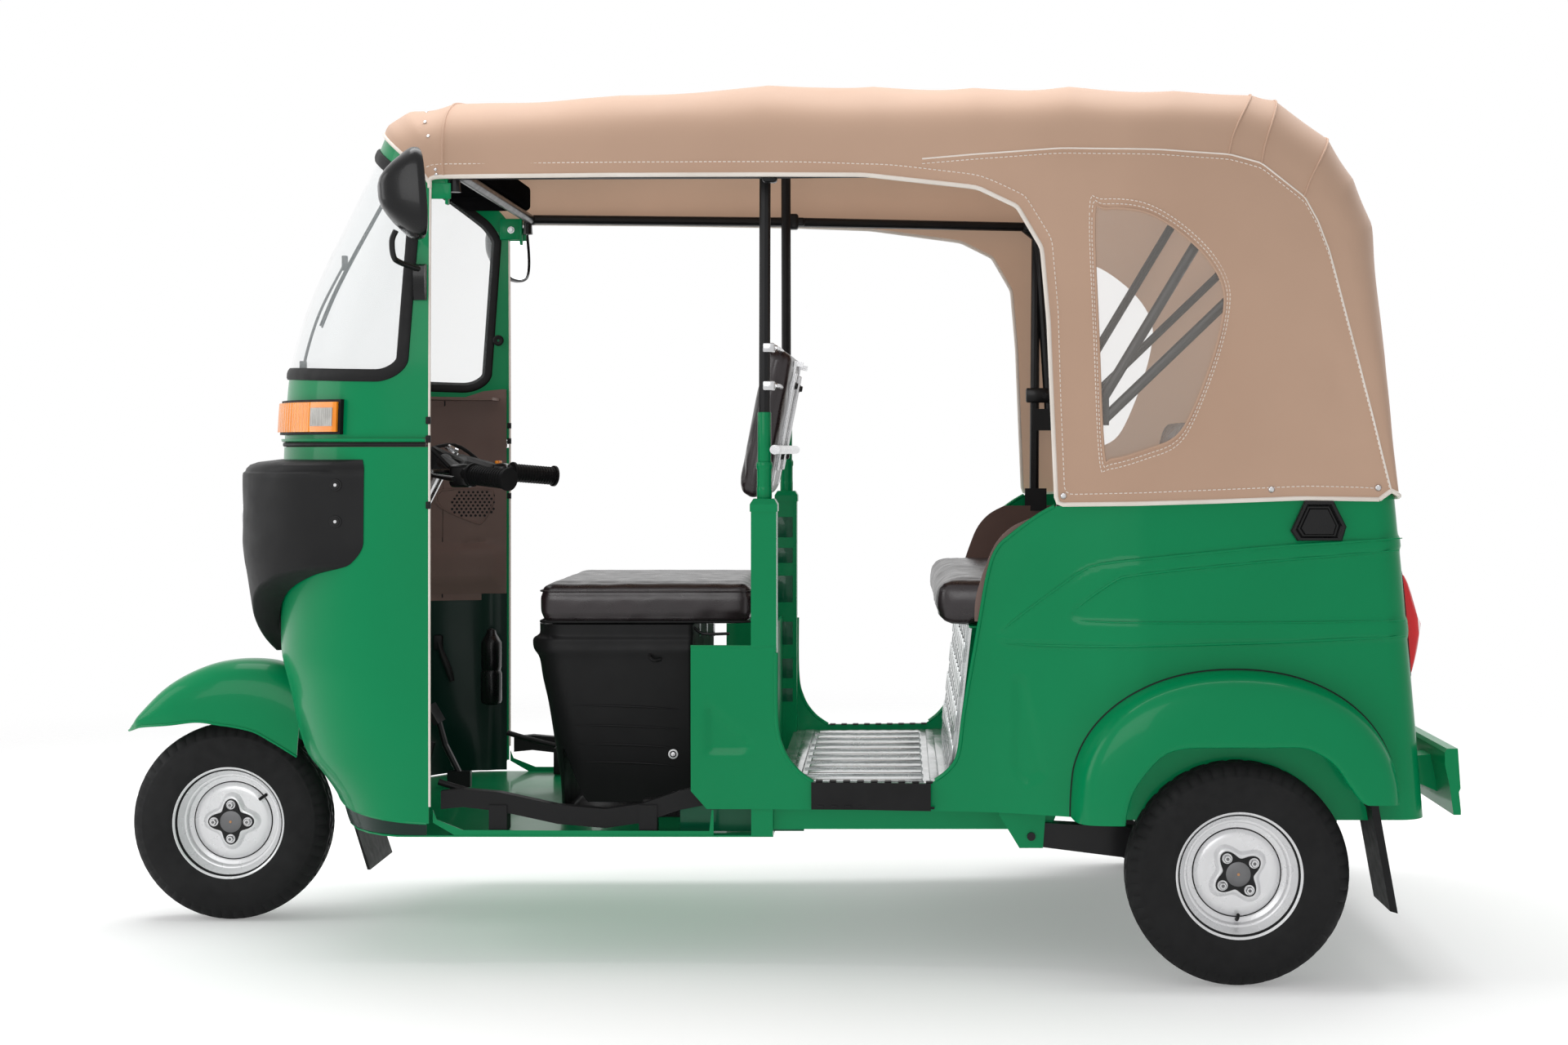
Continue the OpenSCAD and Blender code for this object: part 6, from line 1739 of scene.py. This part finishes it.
newPiece("dashTrim", [(both(loft(speakerRings)), brownLining), (both(join(*holes)), glossBlack),
                      (join(*[tube(line, 1.6, 6, 1) for line in seam + uprights]), mouldedBlack)])
pod = [block((cabX - 292, -112, 1104), (cabX - 222, 112, 1132), 12, 4),
       block((cabX - 218, -70, 1040), (cabX - 210, 70, 1108), 4, 3)]
dials = [lathe([(0.01, 1), (20, 1), (24, 3), (26, 6), (28, 6), (29, 0), (0.01, 0)], (cabX - 212, y, 1074), 40,
               "x") for y in (-36, 36)]
newPiece("instrumentPod", [(join(*pod), mouldedBlack), (join(*dials), glossBlack)])

# Roof console: two dull panels and an end block.
consoleZ = 1509
consoleBits = [*[block((cabX - 60, y, consoleZ - 3), (cabX + 50, y + 240, consoleZ + 1), 2)
                 for y in (-300, 60)],
               block((cabX - 40, -330, consoleZ + 8), (cabX + 66.5, -310, consoleZ + 44), 3)]
# The console's black has no shine at all: painted shade, for it lies in shadow under the roof.
shadeBlack = finish("shadeBlack", (0.006, 0.006, 0.0065), (0.004, 0.004, 0.0045), 9.0, (0.82, 0.92), 0.15,
                    700,
                    Specular_IOR_Level=0.0)
nodes["roof_console"].data.materials[0] = shadeBlack
newPiece("consolePanels", [(join(*consoleBits), shadeBlack)])

# Lever, loom and bottle on the right wall.
farY = 424
leverParts = join(tube([(-756, farY - 30, 540), (-748, farY - 34, 516), (-732, farY - 38, 478),
                        (-724, farY - 40, 452)], [5, 6, 8, 8, 6], 12, 4),
                  block((-768, farY - 34, 522), (-748, farY - 16, 556), 4))
bottle = loft([[(-636 + r * math.cos(a), 388 + r * math.sin(a), z) for a in circle(24)]
               for r, z in ((14, 400), (22, 404), (24, 410), (24, 470), (21, 478), (23, 486), (23, 540),
                            (18, 550), (12, 560), (10, 568), (4, 572))])
loom = [tube([(-470 + dx, 402 + dy, 590), (-468 + dx, 404 + dy, 520), (-480 + dx, 404 + dy, 430),
              (-474 + dx, 402 + dy, 350), (-450 + dx, 396, 300)], 4.2, 8, 5)
        for dx, dy in ((0, 0), (9, 3), (18, -2))]
newPiece("wallLever", [(leverParts, mouldedBlack)])
newPiece("wallLoom", [(join(*loom), softRubber), (bottle, glossBlack)])
print("interior ready")


# Pressed lines, linings and small fittings of the body.
def onSide(path, lift=0.0):
    # Points of a path laid on the right body side, pressings included.
    path = smoothPath(path, 8)
    x, z = path[:, 0], path[:, 1]
    return np.stack([x, bodyY(x, z) + pressed(x, z) + lift, z], -1)


pressedLines = {
    "upper": ([(472, 630), (500, 657), (586, 725), (620, 750), (658, 765), (760, 777), (967, 797),
               (1120, 807), (1205, 813)], 3.0),
    "lower": ([(480, 613), (560, 612), (673, 614), (800, 617), (967, 622), (1100, 628), (1210, 633)], 2.8),
    "innerUpper": ([(603, 672), (634, 701), (682, 735), (712, 744), (800, 755), (967, 771), (1100, 782),
                    (1200, 791)], 2.6),
    "innerLower": ([(615, 660), (700, 658), (967, 658), (1210, 662)], 1.8)}
ridges = [tube(onSide(path, -0.6), [0.4] + [size] * 6 + [0.8], 10, 1) for path, size in pressedLines.values()]
newPiece("pressedLines", [(both(join(*ridges)), bodyPaint)], sharp=60)

liningX, liningZ = sideGrid(9.0)[0][:, :-18, 0], sideGrid(9.0)[0][:, :-18, 2]
inward, deeper = (np.stack([liningX, bodyY(liningX, liningZ) - depth, liningZ], -1) for depth in (9.5, 15))
liningShape = slab(inward, 0, back=deeper)
liningEdge = smoothPath([(doorRear + 30, deckZ + 10), (doorRear + 33, 700), (doorRear + 52, 760),
                         (doorRear + 70, 800),
                         (doorRear + 96, 828), (doorRear + 130, 846)], 5)
for label, turnOver in bothSides:
    piece = newPiece("sideLining" + label, [(turnOver(liningShape), brownLining)])
    cut(piece, turnOver(prism([tuple(p) for p in liningEdge] + [(840, 846), (840, deckZ + 10)], 300,
                              bodyHalf + 60)), "INTERSECT")
    if label == "Left":
        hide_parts("side_linings")

# The engine lid's latch, placed by height along the tail and distance across it.
def tailPlace(h, y, out=0.0):
    return (tailX + (-h) * math.sin(tailLean) + out * math.cos(tailLean), y,
            beltZ + 17 + h * math.cos(tailLean) + out * math.sin(tailLean))


def onTail(shape, h, y, out=0.0):
    return moved(shape, tailPlace(h, y, out), (0, -sideSizes["tailLean"], 0))


latch = join(block((0, -22, -14), (7, 22, 14), 3, 3),
             lathe([(0.01, 12), (7, 11), (8.5, 8), (8.5, 4), (0.01, 4)], (0, 0, 0), 24, "x"))
newPiece("lidLatch", [(onTail(latch, -425, 0, 1.0), mouldedBlack)], "engine_lid")

# Tail lamps: a bulging red lens in a black rubber gasket.
tailLampSizes = {
    "outline": [(384, -150), (400, -146), (484, -150), (500, -166), (502, -240), (498, -330), (484, -344),
                (404, -346), (386, -332), (384, -250)],
    # rings of the lens: (share of the outline, share of the bulge)
    "rings": ((1.0, 0.2), (0.985, 0.55), (0.95, 0.8), (0.88, 0.95), (0.7, 1.0), (0.4, 1.03), (0.12, 1.04)),
    "down": ([-346, -300, -255, -180, -146], [6, 30, 46, 24, 6]),
    "outwards": ([384, 430, 502], [1.0, 0.92, 0.6])}
lampOutline = smoothPath(tailLampSizes["outline"], 3, True)
lampMiddle = lampOutline.mean(0)


def lampRing(share, out):
    ring = lampMiddle + (lampOutline - lampMiddle) * share
    bulge = np.interp(ring[:, 1], *tailLampSizes["down"]) * np.interp(ring[:, 0], *tailLampSizes["outwards"])
    return np.array([tailPlace(h, y, 4 + out * b) for (y, h), b in zip(ring, bulge)])


lens = loft([np.array([tailPlace(h, y, 1) for y, h in lampOutline])]
            + [lampRing(*ring) for ring in tailLampSizes["rings"]])
gasketPath = np.array([tailPlace(h, y, 2.2) for y, h in lampMiddle + (lampOutline - lampMiddle) * 1.03])
newPiece("tailLamps", [(both(lens), redLens), (both(tube(gasketPath, 4.2, 10, 1, True)), softRubber)],
         sharp=24,
         replaced=["tail_lamps"])

# Bumper brackets in bare steel, with bolts.
brackets = []
for y in (410, 250):
    brackets += [*[block((1246, y - 24, z), (1292, y + 24, z + 4), 1.2) for z in (352, 388)],
                 bolt((1268, y, 392), (0, 0, 1), 11, 6)]
newPiece("bumperBrackets", [(both(join(*brackets)), steelBright)])
spike = loft([[(1222 + dx * s, -470 + dy * s, z) for dx, dy in ((-7, -7), (7, -7), (7, 7), (-7, 7))]
              for s, z in ((1, 332), (1, 318), (0.4, 306), (0.1, 300))])
newPiece("underPlug", [(both(spike), mouldedBlack)])

# Rear flaps get ribs and their fixing bar.
flapBits = [tube([(rearX + 251, y, 328), (rearX + 266, y, 250), (rearX + 285.5, y, 150)], 1.6, 6, 1)
            for y in range(bodyHalf - 76, bodyHalf + 29, 26)]
flapBits.append(block((rearX + 236, bodyHalf - 88, 322), (rearX + 254, bodyHalf + 44, 338), 3))
newPiece("flapRibs", [(both(join(*flapBits)), softRubber)])

# Pivot bolt of the trailing arm on its bracket plate, seen under the body.
plate = prism([(506, 300), (580, 300), (566, 240), (548, 226), (530, 226), (514, 244)], 440, 446)
newPiece("pivotBrackets", [(both(plate), bodyPaint),
                           (both(bolt((rearX - 368, 447, 250), (0, 1, 0), 20, 11, 2.5)), steelBright)])
# The rail under the side is in the darker green: painted shade under the body.
sideSkirt = [(340, 292), (560, 292), (560, 276), (480, 268), (340, 268)]
newPiece("underRail", [(both(prism(sideSkirt, 396, 402)), innerShadePaint)])

# Mirrors.

mirrorZ = cabSizes["pillarTop"] - 43
# Outline as (up, across); rings as (share of it, how far back, how far up).
mirrorSizes = {
    "out": 88, "turn": (0, -4, -24), "arm": 5.4,
    "outline": [(66, -52), (84, -10), (84, 26), (66, 50), (20, 58), (-40, 58), (-74, 44), (-84, 10),
                (-76, -34),
                (-40, -58), (10, -62)],
    "shell": ((0.20, -60, 6), (0.34, -56, 6), (0.50, -47, 5), (0.66, -35, 3), (0.82, -20, 1), (0.93, -9, 0),
              (0.985, -1, 0), (1.0, 3, 0), (1.0, 9, 0), (0.985, 13, 0), (0.95, 14.5, 0), (0.935, 12, 0),
              (0.93, 9, 0)),
    "glass": ((0.93, 9.5, 0), (0.92, 10.5, 0), (0.5, 10.8, 0))}


def mirrorPart(rings):
    outline = smoothPath(mirrorSizes["outline"], 5, True)
    shape = loft([[(x, y * size, up * size + lift) for up, y in outline]
                  for size, x, lift in mirrorSizes[rings]])
    return moved(moved(shape, (0, 0, 0), mirrorSizes["turn"]),
                 (cabX - 12, cabHalf + mirrorSizes["out"], mirrorZ))


arm = tube([(cabX - 44, cabHalf + 78, mirrorZ - 66), (cabX - 52, cabHalf + 74, mirrorZ - 84),
            (cabX - 52, cabHalf + 62, mirrorZ - 112),
            (cabX - 44, cabHalf + 46, mirrorZ - 122), (cabX - 16, cabHalf + 13, mirrorZ - 132)],
           mirrorSizes["arm"], 12, 6)
wedge = loft([[(cabX - 30, cabHalf + 1, z0), (cabX - 3, cabHalf + 1, z0), (cabX - 5, cabHalf + w, z0),
               (cabX - 26, cabHalf + w, z0)]
              for z0, w in ((mirrorZ - 190, 6), (mirrorZ - 176, 12), (mirrorZ - 140, 16), (mirrorZ - 126, 14),
                            (mirrorZ - 122, 8))])
newPiece("mirrorSet", [(both(join(mirrorPart("shell"), arm, wedge)), glossBlack),
                       (both(mirrorPart("glass")), mirrorGlass)], sharp=36,
         replaced=["mirrors"])

# Hood frame fittings.

clampBits = [block((postX - 2, 434, 1478), (postX + 26, 462, 1514), 6, 3),
             block((postX - 14, 440, 1486), (postX + 40, 458, 1506), 5, 3),
             block((572, 508, 1480), (612, 540, 1502), 6, 3), bolt((postX + 12, 463, 1496), (0, 1, 0), 9, 5),
             block((578, 500, 1084), (640, 518, 1118), 4), bolt((622, 500, 1100), (0, -1, 0), 10, 6)]
newPiece("frameClamps", [(both(join(*clampBits)), tubePaint)])
# A dark green plate on the sills: painted shade, filling the shadowed recess between the rails.
sillShadePlate = block((cabX + 470, 386, 246), (postX + 74, 390, 300), 1)
newPiece("sillShadePlates", [(both(sillShadePlate), innerShadePaint)])
pillarBits = [block((cabX - 18, cabHalf - 26, 1452), (cabX + 34, cabHalf - 16, 1500), 3),
              block((cabX + 28, cabHalf - 32, 1440), (cabX + 34, cabHalf - 14, 1500), 2)]
newPiece("pillarBrackets", [(both(join(*pillarBits)), bodyPaint),
                            (both(bolt((cabX + 8, cabHalf - 27, 1474), (0, -1, 0), 11, 6)), steelBright)])
grommet = lathe([(3, -3), (9, -4.5), (12, -3), (12.4, 0), (11, 2), (3, 2)], (cabX - 24, cabHalf - 9, 1224),
                24)
newPiece("pillarGrommets", [(both(grommet), softRubber)])

# Handlebar fittings; they ride with the steering.

gripSizes = {"inner": (cabX + 44, 230, 925), "outer": (cabX + 124, 288, 917.0), "rings": 16, "radius": 20.0}
gripLine = np.array([gripSizes["inner"], gripSizes["outer"]])
gripDir = (gripLine[1] - gripLine[0]) / np.linalg.norm(gripLine[1] - gripLine[0])
gripRings = []
for k in np.linspace(0, 1, gripSizes["rings"]):
    p = gripLine[0] + (gripLine[1] - gripLine[0]) * k
    gripRings.append(tube([p - gripDir * 1.3, p + gripDir * 1.3], gripSizes["radius"], 20, 1))
flange = [tube([gripLine[1] - gripDir * 2, gripLine[1] + gripDir * 3], 23, 24, 1),
          tube([gripLine[0] - gripDir * 3, gripLine[0] + gripDir * 2], 23.5, 24, 1)]
switch = block((cabX - 6, 176, 900), (cabX + 40, 224, 946), 9, 3)
lever = tube([(cabX - 8, 200, 932), (cabX - 40, 232, 930), (cabX - 26, 282, 925), (cabX + 26, 330, 918)],
             [5, 5.5, 5, 4.2, 5.6], 10, 5)
cablePath = tube([(cabX - 10, 190, 940), (cabX - 70, 160, 985), (cabX - 130, 90, 960), (cabX - 120, 40, 880)],
                 4, 8, 5)
buttons = [lathe([(0.01, 4), (5, 3.4), (6, 0), (6, -3), (0.01, -3)], (cabX + 18, y, 948), 16, "z")
           for y in (188, 208)]
newPiece("handlebarSet", [(both(join(*gripRings, *flange)), softRubber),
                          (both(join(switch, lever)), glossBlack),
                          (both(cablePath), softRubber), (join(*buttons), amberLens)], "steering")
nut = moved(bolt((0, 0, 0), (0, 0, 1), 22, 12, 4), (cabX - 56 + 11, 0, 971), (0, 27, 0))
newPiece("stemNut", [(nut, steelBright)], "steering")
print("fittings ready")

low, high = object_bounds()
